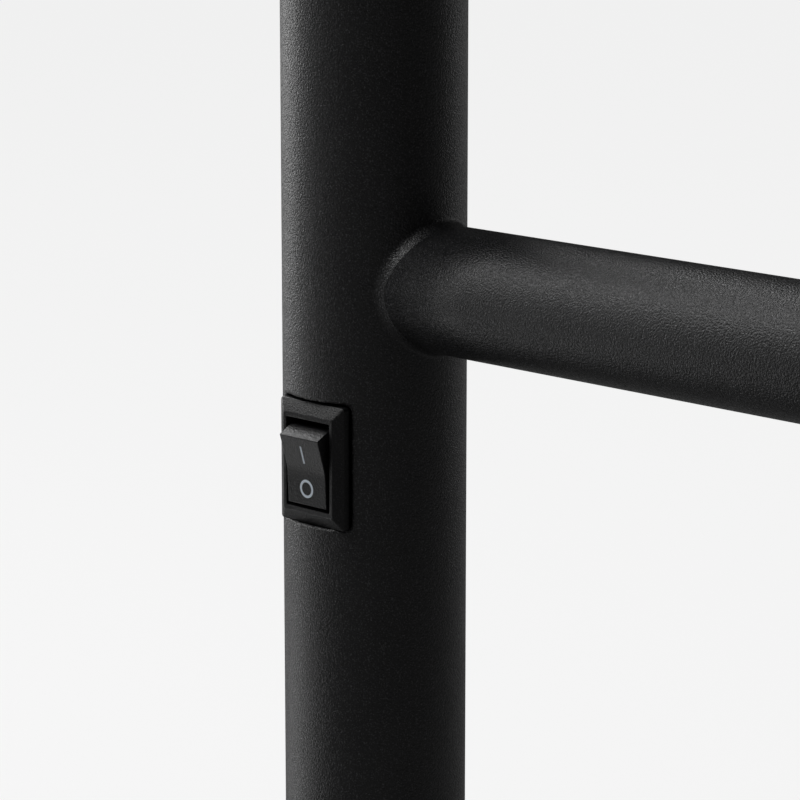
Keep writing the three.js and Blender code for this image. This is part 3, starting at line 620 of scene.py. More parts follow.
@dataclass(frozen=True)
class Tube:
    """A round tube along an axis, whose ends may be cut to another shape.

    Attributes:
        radius: Outer radius.
        centre: Any point of the axis at distance zero.
        along: Direction of the axis.
        front: Direction of angle zero, square to the axis.
        start: Distance of the lower edge at points across and out of the axis.
        end: Distance of the upper edge at the same points.
    """

    radius: float
    centre: Vector
    along: Vector
    front: Vector
    start: Callable[[np.ndarray, np.ndarray], np.ndarray]
    end: Callable[[np.ndarray, np.ndarray], np.ndarray]

    ROWS_BELOW: ClassVar[int] = 8  # steps from an opening's patch down to the next one or the lower edge
    ROWS_ABOVE: ClassVar[int] = 12  # steps from the highest patch up to the upper edge
    PATCH_RINGS: ClassVar[int] = 8  # steps from a patch's edge in to its opening

    def place(self, angle: np.ndarray, distance: np.ndarray) -> np.ndarray:
        """Points of the surface: centre + radius (front cos a + side sin a) + distance along the axis.

        Args:
            angle: Angles round the axis, a.
            distance: Distances along it, in an array of the same shape.

        Returns:
            The same shape of array with X, Y and Z as one more axis.
        """
        side = np.array(self.along.cross(self.front))
        ring = np.cos(angle)[..., None] * np.array(self.front) + np.sin(angle)[..., None] * side
        return np.array(self.centre) + self.radius * ring + distance[..., None] * np.array(self.along)

    def plain(self, sides: int = 128, rows: int = 24) -> Sheet:
        """The whole surface as one grid of angles by distances.

        Args:
            sides: Points round the tube.
            rows: Steps from one edge to the other.

        Returns:
            The surface, open at its ends.
        """
        angle = round_steps(sides)
        across, out = self.radius * np.sin(angle), self.radius * np.cos(angle)
        share = np.linspace(0.0, 1.0, rows + 1)[:, None]
        distance = self.start(across, out)[None] * (1 - share) + self.end(across, out)[None] * share
        return grid_sheet(self.place(np.broadcast_to(angle, distance.shape), distance), wrap_columns=True)

    def with_windows(self, windows: Sequence[Window], gap_columns: int = 48) -> Sheet:
        """The surface with openings, each facing its own way at its own height.

        Round an opening a patch of rings blends from the opening's edge to a rectangle on the surface. The
        rest is one grid of angles by distances that leaves those rectangles out and shares their points.

        Args:
            windows: The openings. No two face the same way or share a height.
            gap_columns: Steps round the tube from one opening's patch to the next.

        Returns:
            The surface, open at its ends and at its windows.
        """
        around = sorted(windows, key=lambda window: window.facing)
        angles: list[float] = []
        first_column: dict[Window, int] = {}
        for window, following in zip(around, around[1:] + around[:1]):
            right = window.facing + window.half_angle(self.radius)
            until = following.facing - following.half_angle(self.radius)
            until += TURN if following.facing <= window.facing else 0.0
            first_column[window] = len(angles)
            angles.extend(np.linspace(2 * window.facing - right, right, window.patch[0] + 1))
            angles.extend(np.linspace(right, until, gap_columns + 1)[1:-1])
        columns = np.array(angles)
        across, out = self.radius * np.sin(columns), self.radius * np.cos(columns)
        rows: list[np.ndarray] = []
        first_row: dict[Window, int] = {}
        last = self.start(across, out)
        for window in sorted(windows, key=lambda window: window.low):
            low, high = window.span()
            rows.extend(last * (1 - s) + low * s for s in np.linspace(0.0, 1.0, self.ROWS_BELOW + 1)[:-1])
            first_row[window] = len(rows)
            rows.extend(np.full(len(columns), t) for t in np.linspace(low, high, window.patch[1] + 1)[:-1])
            last = np.full(len(columns), high)
        top = self.end(across, out)
        rows.extend(last * (1 - s) + top * s for s in np.linspace(0.0, 1.0, self.ROWS_ABOVE + 1))
        distance = np.array(rows)
        points = self.place(np.broadcast_to(columns, distance.shape), distance)
        faces = grid_faces(*distance.shape, wrap_columns=True)
        row, column = np.divmod(np.arange(len(faces)), len(columns))
        solid = np.ones(len(faces), bool)
        for window in windows:
            wide, tall = window.patch
            in_columns = (column >= first_column[window]) & (column < first_column[window] + wide)
            in_rows = (row >= first_row[window]) & (row < first_row[window] + tall)
            solid &= ~(in_columns & in_rows)
        sheet = Sheet(points.reshape(-1, 3), faces[solid].tolist())
        for window in windows:
            sheet = sheet + self._patch(window)
        return sheet

    def _patch(self, window: Window) -> Sheet:
        """Rings from the edge of an opening's rectangle in to the opening's own edge.

        Args:
            window: The opening.

        Returns:
            The rings, closer together towards the rectangle's edge.
        """
        (wide, tall), (low, high) = window.patch, window.span()
        u, v = np.linspace(-1.0, 1.0, wide + 1), np.linspace(-1.0, 1.0, tall + 1)
        square_x = np.concatenate([u[:-1], np.full(tall, 1.0), u[:0:-1], np.full(tall, -1.0)])
        square_t = np.concatenate([np.full(wide, -1.0), v[:-1], np.full(wide, 1.0), v[:0:-1]])
        inner_x, inner_t = window.outline(square_x, square_t)
        inner_angle = np.arcsin(inner_x / self.radius)
        outer_angle = square_x * window.half_angle(self.radius)
        outer_t = (low + high) / 2 + square_t * (high - low) / 2
        share = (np.linspace(0.0, 1.0, self.PATCH_RINGS + 1) ** 1.5)[:, None]
        angle = window.facing + inner_angle * share + outer_angle * (1 - share)
        distance = inner_t * share + outer_t * (1 - share)
        return grid_sheet(self.place(angle, distance), wrap_columns=True)


@dataclass
class Ladder:
    """The welded frame: two uprights, the rails between them, and the bead round each joint.

    Attributes:
        paint: The finished materials.
        upright_wall: Wall of an upright.
        rail_wall: Wall of a rail.
        seat_gap: Gap between an upright's saddle and the foot.
        slot_side: How far the switch cut-out runs past the bezel at each side.
        slot_above: How far it runs past the bezel at the top.
        slot_below: The same at the bottom.
        slot_corner: Radius of its corners.
        gland_hole: Radius of the hole for the cable gland.
        bead_leg: How far a weld bead runs along the rail.
        bead_toe: How far it runs along the upright.
        bead_fill: How far its face stands out of the corner, from 0 hollow to 1 flat.
        bead_top: Share by which it is longer at the top and shorter at the bottom.
        bead_back: Share by which it is longer at the back and shorter at the front.
        bead_sunk: How far its edges lie under the tubes' skins.
        bead_root: How far its root lies under them.
    """

    paint: Paintbox
    upright_wall: float = 1.5 * MM
    rail_wall: float = 1.2 * MM
    seat_gap: float = 0.15 * MM
    slot_side: float = 0.4 * MM
    slot_above: float = 0.6 * MM
    slot_below: float = 0.15 * MM
    slot_corner: float = 1.5 * MM
    gland_hole: float = 6.1 * MM
    bead_leg: float = 3.0 * MM
    bead_toe: float = 1.3 * MM
    bead_fill: float = 0.06
    bead_top: float = 0.12
    bead_back: float = 0.3
    bead_sunk: float = 0.04 * MM
    bead_root: float = 0.4 * MM

    def build(self) -> None:
        """Makes every piece of the frame."""
        self.left_upright()
        self.right_upright()
        for number in range(1, RAIL_COUNT + 1):
            self.rail(number)
            for side, sign in (("left", 1.0), ("right", -1.0)):
                self.bead(number, side, sign)

    def _upright(self, axis: float) -> Tube:
        """An upright whose foot end is hollowed to the round of the foot that it stands on.

        Args:
            axis: Where its axis stands, along X.

        Returns:
            The upright, with the switch's side as angle zero.
        """
        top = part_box("left_upright")[1][2]
        saddle = FOOT_RADIUS + self.seat_gap

        def start(across: np.ndarray, out: np.ndarray) -> np.ndarray:
            """Height of the saddle: the foot's circle over the distance across the foot."""
            return FOOT_AXIS + np.sqrt(np.maximum(saddle**2 - across**2, 0.0))

        def end(across: np.ndarray, out: np.ndarray) -> np.ndarray:
            """A square cut at the top."""
            return np.full(np.shape(across), top)

        return Tube(UPRIGHT_RADIUS, Vector((axis, 0, 0)), Vector((0, 0, 1)), Vector((0, -1, 0)), start, end)

    def left_upright(self) -> None:
        """Makes the upright with the switch's cut-out in its front and the gland's hole in its back."""
        bezel = extent_of("switch_housing")
        half = bezel.z / 2
        cut_out = Window(
            bezel.x / 2 + self.slot_side,
            SWITCH_CENTRE - half - self.slot_below,
            SWITCH_CENTRE + half + self.slot_above,
            self.slot_corner,
            patch=(96, 128),
            ragged=0.06 * MM,
        )
        gland, hole = centre_of("cable_gland").z, self.gland_hole
        hole_window = Window(hole, gland - hole, gland + hole, hole, facing=math.pi)
        surface = self._upright(LEFT_AXIS).with_windows([cut_out, hole_window])
        coated_tube("left_upright", surface, self.upright_wall, self.paint)

    def right_upright(self) -> None:
        """Makes the plain upright."""
        coated_tube("right_upright", self._upright(RIGHT_AXIS).plain(), self.upright_wall, self.paint)

    def rail(self, number: int) -> None:
        """Makes a rail whose ends meet the round of the uprights.

        Args:
            number: The rail's number, counted from the lowest.
        """
        height = centre_of(f"rail_{number}").z
        half = (RIGHT_AXIS - LEFT_AXIS) / 2

        def cope(across: np.ndarray) -> np.ndarray:
            """Distance of the end from the upright's axis: the upright's circle over the distance across."""
            return np.sqrt(UPRIGHT_RADIUS**2 - across**2)

        tube = Tube(
            RAIL_RADIUS, Vector((0, 0, height)), Vector((1, 0, 0)), Vector((0, 0, 1)),
            lambda across, out: cope(across) - half, lambda across, out: half - cope(across),
        )
        coated_tube(f"rail_{number}", tube.plain(), self.rail_wall, self.paint)

    def bead(self, number: int, side: str, sign: float) -> None:
        """Makes the bead round one end of a rail.

        At each angle round the rail, the corner between the tubes is at J, and the bead leaves the rail at B
        and the upright at A. Its face is the parabola from B to A whose third point is J drawn part of the
        way to the middle of AB. Both legs are longer at the top and at the back, and waver by a few
        hundredths as a hand-run bead's do.

        Args:
            number: The rail's number, counted from the lowest.
            side: "left" or "right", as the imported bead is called.
            sign: Way from that upright to the middle of the rail, along X.
        """
        height = centre_of(f"rail_{number}").z
        axis = LEFT_AXIS if sign > 0 else RIGHT_AXIS
        angle = np.linspace(0.0, TURN, 144, endpoint=False)
        waver = 1 + self.bead_top * np.sin(angle) + self.bead_back * np.cos(angle)
        waver += 0.05 * np.sin(3 * angle + number) + 0.03 * np.sin(7 * angle + 2 * number)

        def on_upright(reach: np.ndarray, depth: float) -> np.ndarray:
            """Points on the upright or under its skin.

            Args:
                reach: Distance from the rail's axis at each angle.
                depth: How far under the skin.

            Returns:
                An (n, 3) array.
            """
            y, z = reach * np.cos(angle), reach * np.sin(angle)
            x = np.sqrt((UPRIGHT_RADIUS - depth) ** 2 - y**2)
            return np.stack([axis + sign * x, y, height + z], axis=-1)

        corner = on_upright(np.full(len(angle), RAIL_RADIUS), 0.0)
        on_rail = on_upright(np.full(len(angle), RAIL_RADIUS - self.bead_sunk), 0.0)
        on_rail[:, 0] += sign * self.bead_leg * waver
        at_upright = on_upright(RAIL_RADIUS + self.bead_toe * waver, self.bead_sunk)
        pull = corner + self.bead_fill * ((on_rail + at_upright) / 2 - corner)
        root = on_upright(np.full(len(angle), RAIL_RADIUS - self.bead_root), self.bead_root)
        share = np.linspace(0.0, 1.0, 13)[:, None, None]
        face = (1 - share) ** 2 * on_rail + 2 * share * (1 - share) * pull + share**2 * at_upright
        loops = np.concatenate([face, root[None]])
        sheet = grid_sheet(loops, wrap_rows=True, wrap_columns=True)
        piece = make_piece(f"rail_{number}_bead_{side}", sheet, sharp_degrees=50)
        settle(piece, "rack", "powder_coat", self.paint, f"weld_{number}_{side}")


# ---- Caps, feet and pads ---------------------------------------------------------------------------------


@dataclass
class EndCaps:
    """The moulded caps in the open ends of the tubes.

    Attributes:
        paint: The finished materials.
        height: Height of the cap over the tube's end.
        rim: Straight part of the cap's edge.
        soft: Least height of the soft edge over the rim.
        dome_share: Share of the radius that the dome takes, inside the soft edge.
        dome_foot: Share of the radius at which the dome would come down to the soft edge's height.
        plug_wall: How far the plug stands back from the cap's edge.
        plug_depth: How far the plug goes into the tube.
    """

    paint: Paintbox
    height: float = 4.0 * MM
    rim: float = 0.9 * MM
    soft: float = 0.7 * MM
    dome_share: float = 0.9
    dome_foot: float = 1.02
    plug_wall: float = 1.8 * MM
    plug_depth: float = 12.0 * MM

    def build(self) -> None:
        """Makes the two top caps and the four foot caps."""
        for side in ("left", "right"):
            self.cap(f"{side}_top_cap", Vector((0, 0, 1)))
            for end, sign in (("front", -1), ("back", 1)):
                self.cap(f"{side}_{end}_foot_cap", Vector((0, sign, 0)))

    def cap(self, node: str, along: Vector) -> None:
        """Makes a low dome with a soft edge, turned round the tube's axis.

        The dome's height falls as the cosine of an angle whose sine is the radius share.

        Args:
            node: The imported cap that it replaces.
            along: Direction that the cap faces.
        """
        low, high = (Vector(corner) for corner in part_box(node))
        radius, middle = (high - low).x / 2, (low + high) / 2
        tip = (high if along.z + along.y > 0 else low).dot(along)
        centre = middle - along * middle.dot(along)
        base = tip - self.height
        crown = self.height - self.rim - self.soft
        share = np.linspace(0.0, self.dome_share, 14)
        rise = crown * np.sqrt(1 - (share / self.dome_foot) ** 2) + self.rim + self.soft
        dome = np.stack([radius * share, base + rise], axis=1)
        dome[:, 1] += tip - dome[0, 1]
        edge = quarter_round(dome[-1, 0], dome[-1, 1], radius, base + self.rim, steps=8)
        plug, nick = radius - self.plug_wall, 0.15 * MM
        profile = np.vstack([
            dome, edge[1:], [[radius, base + nick], [radius - nick, base]],
            [[plug, base], [plug, base - self.plug_depth], [0.0, base - self.plug_depth]],
        ])
        across = Vector((1, 0, 0))
        sheet = revolved(profile, 96, across, along, centre)
        piece = make_piece(f"{node}_moulding", sheet, sharp_degrees=40)
        settle(piece, "rack", "moulded_black", self.paint, node)


@dataclass
class Feet:
    """The two feet and their rubber pads.

    Attributes:
        paint: The finished materials.
        wall: Wall of a foot tube.
        key_hole: Radius of the hole under each foot for the bolt's key.
        pad_ring: Depth of the rings moulded in a pad's sole.
        pad_edge: Radius of the sole's round edge.
        pad_lip: Height of a pad's lip.
        pad_gap: Gap between a pad and the foot.
        pad_chamfer: Height of the lip's chamfer.
    """

    paint: Paintbox
    wall: float = 1.5 * MM
    key_hole: float = 7.5 * MM
    pad_ring: float = 0.5 * MM
    pad_edge: float = 1.2 * MM
    pad_lip: float = 8.0 * MM
    pad_gap: float = 0.1 * MM
    pad_chamfer: float = 0.2 * MM

    def build(self) -> None:
        """Makes both feet with two pads each."""
        for side in ("left", "right"):
            self.foot(side)
            for end in ("front", "back"):
                self.pad(f"{side}_{end}_foot_pad")

    def foot(self, side: str) -> None:
        """Makes a tube from front to back with the key hole in its underside.

        Args:
            side: "left" or "right".
        """
        low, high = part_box(f"{side}_foot")
        axis = Vector((centre_of(f"{side}_foot").x, 0, FOOT_AXIS))
        tube = Tube(
            FOOT_RADIUS, axis, Vector((0, 1, 0)), Vector((0, 0, -1)),
            lambda across, out: np.full(np.shape(across), low[1]),
            lambda across, out: np.full(np.shape(across), high[1]),
        )
        hole = Window(self.key_hole, -self.key_hole, self.key_hole, self.key_hole)
        coated_tube(f"{side}_foot", tube.with_windows([hole], gap_columns=96), self.wall, self.paint)

    def pad(self, node: str) -> None:
        """Makes a rubber disc whose top is hollowed to the foot's round.

        Over the disc, the top's height is the foot's lower surface, and no higher than the disc's lip. The
        sole has two shallow rings.

        Args:
            node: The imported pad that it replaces.
        """
        low, high = (Vector(corner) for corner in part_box(node))
        centre, radius = (low + high) / 2, (high - low).x / 2
        angle = round_steps(72)
        flat, edge = np.ones(len(angle)), self.pad_edge
        # Radius share and depth of the sole from the middle out. The round edge and the hollowed top follow.
        sole = (
            (0.0, 0), (0.30, 0), (0.33, 1), (0.38, 1), (0.41, 0), (0.58, 0), (0.61, 1), (0.66, 1), (0.69, 0),
            (0.84, 0),
        )
        rings = [(share * radius, flat * (low.z + depth * self.pad_ring)) for share, depth in sole]
        for turn in np.linspace(0.0, math.pi / 2, 6):
            reach, rise = radius - edge * (1 - math.sin(turn)), edge * (1 - math.cos(turn))
            rings.append((reach, flat * (low.z + rise)))
        for share in (1.0, 0.98, 0.9, 0.6, 0.3):
            reach = share * radius
            across = reach * np.cos(angle)
            under = FOOT_AXIS - np.sqrt((FOOT_RADIUS + self.pad_gap) ** 2 - across**2)
            top = np.minimum(under, low.z + self.pad_lip)
            rings.append((reach, top - (self.pad_chamfer if share == 1.0 else 0.0)))
        loops = np.array([
            np.stack([centre.x + r * np.cos(angle), centre.y + r * np.sin(angle), z], axis=1)
            for r, z in rings
        ])
        piece = make_piece(f"{node}_rubber", capped(loops), sharp_degrees=50)
        settle(piece, "rack", "rubber", self.paint, node)


# ---- Switch ----------------------------------------------------------------------------------------------


@dataclass
class RockerSwitch:
    """The rocker switch, in a frame of its own: X across, Y up, Z out of the upright's axis.

    Attributes:
        paint: The finished materials.
        rest_tilt: How far the rocker leans at rest, in degrees.
        body: Half width and half height of the part inside the upright.
        well: Half width and half height of the well that the rocker sits in.
        well_floor: Thickness of the well's floor.
        lip: Half width and half height of the bezel's lip.
        bevel: Height of the bezel's slope.
        edge: Radius of the soft edges of the mouldings.
        pivot_below_lip: Depth of the rocker's pivot under the lip.
        rocker_width: Width of the rocker.
        face_tip: Height of the rocker's face over the pivot at its ends.
        face_valley: The same at its middle.
        face_reach: Half the length of the face.
        face_soft: How far the valley's bottom is rounded.
        sleeve: Diameter of the sleeve under the rocker that guides the plunger.
        sleeve_bore: Diameter of its bore.
        sleeve_depth: How far it reaches below the pivot.
        bore_top: Height of the bore's closed end over the pivot.
        plunger_travel: How far the plunger slides in; not used.
        print_rise: How far the marks stand out of the rocker's face.
    """

    paint: Paintbox
    rest_tilt: float = 9.5
    body: tuple[float, float] = (6.5 * MM, 9.5 * MM)
    well: tuple[float, float] = (5.2 * MM, 7.8 * MM)
    well_floor: float = 1.2 * MM
    lip: tuple[float, float] = (5.9 * MM, 8.6 * MM)
    bevel: float = 1.2 * MM
    edge: float = 0.09 * MM
    pivot_below_lip: float = 5.1 * MM
    rocker_width: float = 9.3 * MM
    face_tip: float = 6.35 * MM
    face_valley: float = 5.66 * MM
    face_reach: float = 6.2 * MM
    face_soft: float = 0.9 * MM
    sleeve: float = 5.2 * MM
    sleeve_bore: float = 3.2 * MM
    sleeve_depth: float = 4.0 * MM
    bore_top: float = 3.2 * MM
    plunger_travel: float = 0.8 * MM
    print_rise: float = 0.03 * MM

    def __post_init__(self) -> None:
        """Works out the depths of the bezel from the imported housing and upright."""
        low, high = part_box("switch_housing")
        self.half = (extent_of("switch_housing").x / 2, extent_of("switch_housing").z / 2)
        self.lip_depth = -low[1]
        self.back_depth = -high[1]
        self.seat_depth = math.sqrt(UPRIGHT_RADIUS**2 - self.half[0] ** 2)
        upright = Matrix.Rotation(math.pi / 2, 4, "X")
        self.to_rack = Matrix.Translation((LEFT_AXIS, 0, SWITCH_CENTRE)) @ upright
        pivot = Matrix.Translation((0, 0, self.lip_depth - self.pivot_below_lip))
        self.rocker_to_rack = self.to_rack @ pivot @ Matrix.Rotation(math.radians(self.rest_tilt), 4, "X")

    def build(self) -> None:
        """Makes the housing, the rocker with its marks, and the plunger's spring."""
        self.housing()
        self.rocker()
        self.marks()
        self.spring()

    def housing(self) -> None:
        """Makes the housing as loops of a round-cornered rectangle.

        They run from its back over the bezel into the well. Each station gives half width, half height,
        corner radius and depth, and edges are rounded by small steps in shares of the soft edge e.
        """
        (x, y), (lx, ly), (wx, wy), (bx, by) = self.half, self.lip, self.well, self.body
        seat, lip, e, hair = self.seat_depth, self.lip_depth, self.edge, 0.01 * MM
        shoulder = lip - self.bevel
        stations = (
            (bx, by, 0.6, self.back_depth), (bx, by, 0.6, seat - hair), (bx + hair, by + hair, 0.6, seat),
            (x - e, y - e, 0.5, seat), (x, y, 0.55, seat + e), (x, y, 0.55, shoulder - e),
            (x - 0.3 * e, y - 0.35 * e, 0.53, shoulder - 0.2 * e),
            (x - e, y - 1.2 * e, 0.5, shoulder + 0.5 * e), (lx + e, ly + 1.2 * e, 0.35, lip - 0.6 * e),
            (lx + 0.2 * e, ly + 0.2 * e, 0.32, lip - 0.08 * e),
            (lx - e, ly - e, 0.3, lip), (wx + e, wy + e, 0.25, lip),
            (wx + 0.25 * e, wy + 0.25 * e, 0.22, lip - 0.3 * e), (wx, wy, 0.2, lip - e),
            (wx, wy, 0.2, self.back_depth + self.well_floor),
        )
        loops = []
        for half_width, half_height, corner, depth in stations:
            outline = rounded_loop(half_width, half_height, corner * MM)
            loops.append(np.column_stack([outline, np.full(len(outline), depth)]))
        sheet = capped(np.array(loops)).moved(self.to_rack)
        piece = make_piece("switch_bezel_and_body", sheet, sharp_degrees=28)
        settle(piece, "rack", "moulded_black", self.paint, "switch_housing")

    def face_height(self, up: np.ndarray) -> np.ndarray:
        """Height of the rocker's face over its pivot: a shallow valley, smooth at its bottom.

        The height is the valley's plus a slope times a distance that is rounded off near the middle.

        Args:
            up: Distances up the rocker from its pivot.

        Returns:
            The heights there.
        """
        soft, rise = self.face_soft, self.face_tip - self.face_valley
        run = np.sqrt(up**2 + soft**2) - soft
        return self.face_valley + rise * run / (math.sqrt(self.face_reach**2 + soft**2) - soft)

    def rocker(self) -> None:
        """Makes the rocker: one outline across its width, with bevelled edges, over a hollow sleeve.

        The outline runs down the face, round the lower skirt, along the hollow underside and up the other
        skirt. The sleeve is a tube closed at the top, turned round the rocker's upright axis.
        """
        up = np.linspace(self.face_reach, -self.face_reach, 41)
        face = np.stack([up, self.face_height(up)], axis=1)
        skirt = np.array([[7.15, 3.5], [7.0, 2.2], [4.5, 1.0], [3.3, 1.0], [3.0, 3.4]]) * MM
        outline = np.vstack([face, skirt * (-1, 1), skirt[::-1]])
        half = self.rocker_width / 2
        sides = [np.column_stack([np.full(len(outline), x), outline]) for x in (-half, half)]
        outer, bore, foot = self.sleeve / 2, self.sleeve_bore / 2, -self.sleeve_depth
        roof = self.bore_top + 0.4 * MM
        wall = np.array([
            [0.0, roof], [outer, roof], [outer, foot],
            [bore, foot], [bore, self.bore_top], [0.0, self.bore_top],
        ])
        sleeve = revolved(wall, 40, Vector((1, 0, 0)), Vector((0, 0, 1)), Vector((0, 0, 0)))
        sheet = capped(np.array(sides)) + sleeve
        piece = make_piece("rocker_moulding", sheet.moved(self.rocker_to_rack), sharp_degrees=25)
        bevel = piece.modifiers.new("soft_edges", "BEVEL")
        bevel.width, bevel.segments, bevel.limit_method = 0.14 * MM, 3, "ANGLE"
        bevel.angle_limit = math.radians(25)
        settle(piece, "rocker", "moulded_black", self.paint, "rocker")

    def spring(self) -> None:
        """Makes the spring in the sleeve as a fixed coil that rides on the rocker; its coils don't close up
        as the plunger slides in.

        The wire's middle is a helix: a circle in the turn, with a rise in step with it. Round each of its
        points the wire is a circle in the plane of the helix's radius and the line square to that and to the
        helix.
        """
        low, high = -0.9 * MM, self.bore_top - 0.3 * MM
        wire, radius, turns = 0.2 * MM, 1.0 * MM, 4
        turn = np.linspace(0.0, turns * TURN, turns * 40 + 1)
        rise = (high - low - 2 * wire) / (turns * TURN)
        cos, sin = np.cos(turn), np.sin(turn)
        middle = np.stack([radius * cos, radius * sin, low + wire + rise * turn], axis=1)
        out = np.stack([cos, sin, np.zeros(len(turn))], axis=1)
        along = np.stack([-radius * sin, radius * cos, np.full(len(turn), rise)], axis=1)
        square = np.cross(along / np.linalg.norm(along[0]), out)
        angle = round_steps(12)[None, :, None]
        loops = middle[:, None] + wire * (np.cos(angle) * out[:, None] + np.sin(angle) * square[:, None])
        piece = make_piece("plunger_spring_coil", capped(loops).moved(self.rocker_to_rack))
        settle(piece, "rocker", "spring_steel", self.paint, "plunger_spring")
        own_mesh(piece)

    def _on_face(self, across: np.ndarray, up: np.ndarray, rise: float) -> np.ndarray:
        """Points that stand on the rocker's face by a small rise."""
        return np.stack([across, up, self.face_height(up) + rise], axis=-1)

    def marks(self) -> None:
        """Makes the printed stroke on the upper half and the ring on the lower half."""
        stroke_middle, ring_middle, rise = 2.95 * MM, -3.25 * MM, self.print_rise
        stroke = rounded_loop(0.2 * MM, 1.65 * MM, 0.1 * MM) + (0.0, stroke_middle)
        bar = capped(np.array([self._on_face(stroke[:, 0], stroke[:, 1], r) for r in (-rise, rise)]))
        angle = round_steps(64)
        rings = []
        for radius, level in ((1.6, -rise), (1.6, rise), (1.15, rise), (1.15, -rise)):
            across, up = radius * MM * np.cos(angle), radius * MM * np.sin(angle) + ring_middle
            rings.append(self._on_face(across, up, level))
        ring = grid_sheet(np.array(rings), wrap_rows=True, wrap_columns=True)
        piece = make_piece("rocker_marks", (bar + ring).moved(self.rocker_to_rack), sharp_degrees=30)
        settle(piece, "rocker", "switch_marks", self.paint)


# ---- Cable gland -----------------------------------------------------------------------------------------


@dataclass
class CableGland:
    """The gland at the back of the left upright.

    Attributes:
        paint: The finished materials.
        bore: Radius of the hole for the cord.
        neck: Radius of the neck in the upright's wall.
        nose: Length of the nose past the flange.
        taper: How much wider than the neck the nose is where it leaves the flange.
        grooves: Number of grooves round the nose.
        groove: Depth of one.
        flange_rise: How far the flange stands off the upright's back.
        gap: Gap between them where they meet.
    """

    paint: Paintbox
    bore: float = 4.0 * MM
    neck: float = 6.0 * MM
    nose: float = 7.5 * MM
    taper: float = 2.0 * MM
    grooves: int = 3
    groove: float = 0.22 * MM
    flange_rise: float = 3.5 * MM
    gap: float = 0.05 * MM

    def build(self) -> None:
        """Turns the nose, its grip rings and the flange, and fits the flange to the upright's round.

        The profile runs from the bore's inner mouth out over the nose and flange and back down the neck.
        Where it meets the upright, each point's depth is that of the upright's surface.
        """
        low, high = (Vector(corner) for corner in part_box("cable_gland"))
        flange, height, inner = (high - low).x / 2, ((low + high) / 2).z, low.y + 0.2 * MM
        face = UPRIGHT_RADIUS + self.flange_rise
        tip = face + self.nose
        grip = []
        for share in np.linspace(0.0, 1.0, 31)[::-1]:
            wave = self.groove * (1 - math.cos(self.grooves * TURN * share)) / 2
            grip.append([self.neck + self.taper * (1 - share) - wave, face + share * (tip - face)])
        mouth, nose_foot, edge, nick = 0.5 * MM, 2.3 * MM, 0.6 * MM, 0.15 * MM
        profile = np.array([
            [self.bore, inner], [self.bore, tip - mouth], [self.bore + mouth, tip], *grip,
            [self.neck + nose_foot, face], [flange - edge, face], [flange - nick, face - nick],
            [flange, face - edge], [flange, 0.0], [self.neck, 0.0], [self.neck, inner],
        ])
        angle = round_steps(96)
        x, z = np.outer(profile[:, 0], np.cos(angle)), np.outer(profile[:, 0], np.sin(angle))
        y = np.repeat(profile[:, 1:2], len(angle), axis=1)
        fitted = profile[:, 1] == 0.0
        y[fitted] = np.sqrt((UPRIGHT_RADIUS + self.gap) ** 2 - x[fitted] ** 2)
        points = np.stack([LEFT_AXIS + x, y, height + z], axis=-1)
        piece = make_piece("cable_gland_moulding", grid_sheet(points, wrap_rows=True, wrap_columns=True))
        settle(piece, "rack", "moulded_black", self.paint, "cable_gland")


# ---- Parts kept as packed --------------------------------------------------------------------------------


def dress_kept_nodes(paint: Paintbox) -> None:
    """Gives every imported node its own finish, by the slot that the record names."""
    slots = {row["node"]: row["material_slot"] for row in frame["record"]["subparts"]}
    for name, node in frame["nodes"].items():
        paint.dress(node, slots[name])


# ---- Studio ----------------------------------------------------------------------------------------------


@dataclass(frozen=True)
class Softbox:
    """A soft rectangular light that faces the joint of the left upright and the lowest rail.

    Attributes:
        name: What the light is called.
        bearing: Degrees round the upright from the camera's side, counted towards the camera's left.
        height: Degrees over the joint.
        distance: From the joint.
        width: Width of the box.
        tall: Height of the box.
        power: Watts.
    """

    name: str
    bearing: float
    height: float
    distance: float
    width: float
    tall: float
    power: float


SOFTBOXES = (
    Softbox("left_back", 132, 20, 0.85, 0.4, 1.0, 3.9),
    Softbox("left_side", 100, 20, 0.85, 0.4, 1.0, 1.0),
    Softbox("left_front", 70, 8, 1.8, 0.6, 1.6, 1.25),
    Softbox("right_back", -130, 8, 1.8, 0.6, 1.6, 2.4),
    Softbox("top_left", 80, 50, 1.8, 0.8, 0.8, 10.6),
    Softbox("high_left", 150, 45, 1.8, 0.8, 0.8, 8.9),
    Softbox("top", 180, 75, 1.8, 1.2, 1.0, 0.5),
    Softbox("top_front", 20, 60, 1.8, 0.8, 0.8, 0.8),
    Softbox("low_front", 10, -8, 1.8, 1.6, 0.3, 0.55),
    Softbox("bounce_card", 110, -33, 0.33, 0.3, 0.12, 0.14),
)


def towards(bearing: float, height: float) -> Vector:
    """Unit vector towards a bearing round the rack from straight in front and a height, both in degrees."""
    turn, rise = math.radians(bearing), math.radians(height)
    return Vector((math.sin(turn) * math.cos(rise), -math.cos(turn) * math.cos(rise), math.sin(rise)))


def hang(name: str, data: bpy.types.ID, place: Vector, away: Vector) -> bpy.types.Object:
    """Hangs a camera or a light.

    Args:
        name: What the object is called.
        data: Its camera or light data.
        place: Where it hangs.
        away: Unit vector opposite to the way that it faces.

    Returns:
        The new object, in the scene.
    """
    thing = bpy.data.objects.new(name, data)
    thing.location = place
    thing.rotation_mode = "QUATERNION"
    thing.rotation_quaternion = (-away).to_track_quat("-Z", "Y")
    bpy.context.scene.collection.objects.link(thing)
    return thing


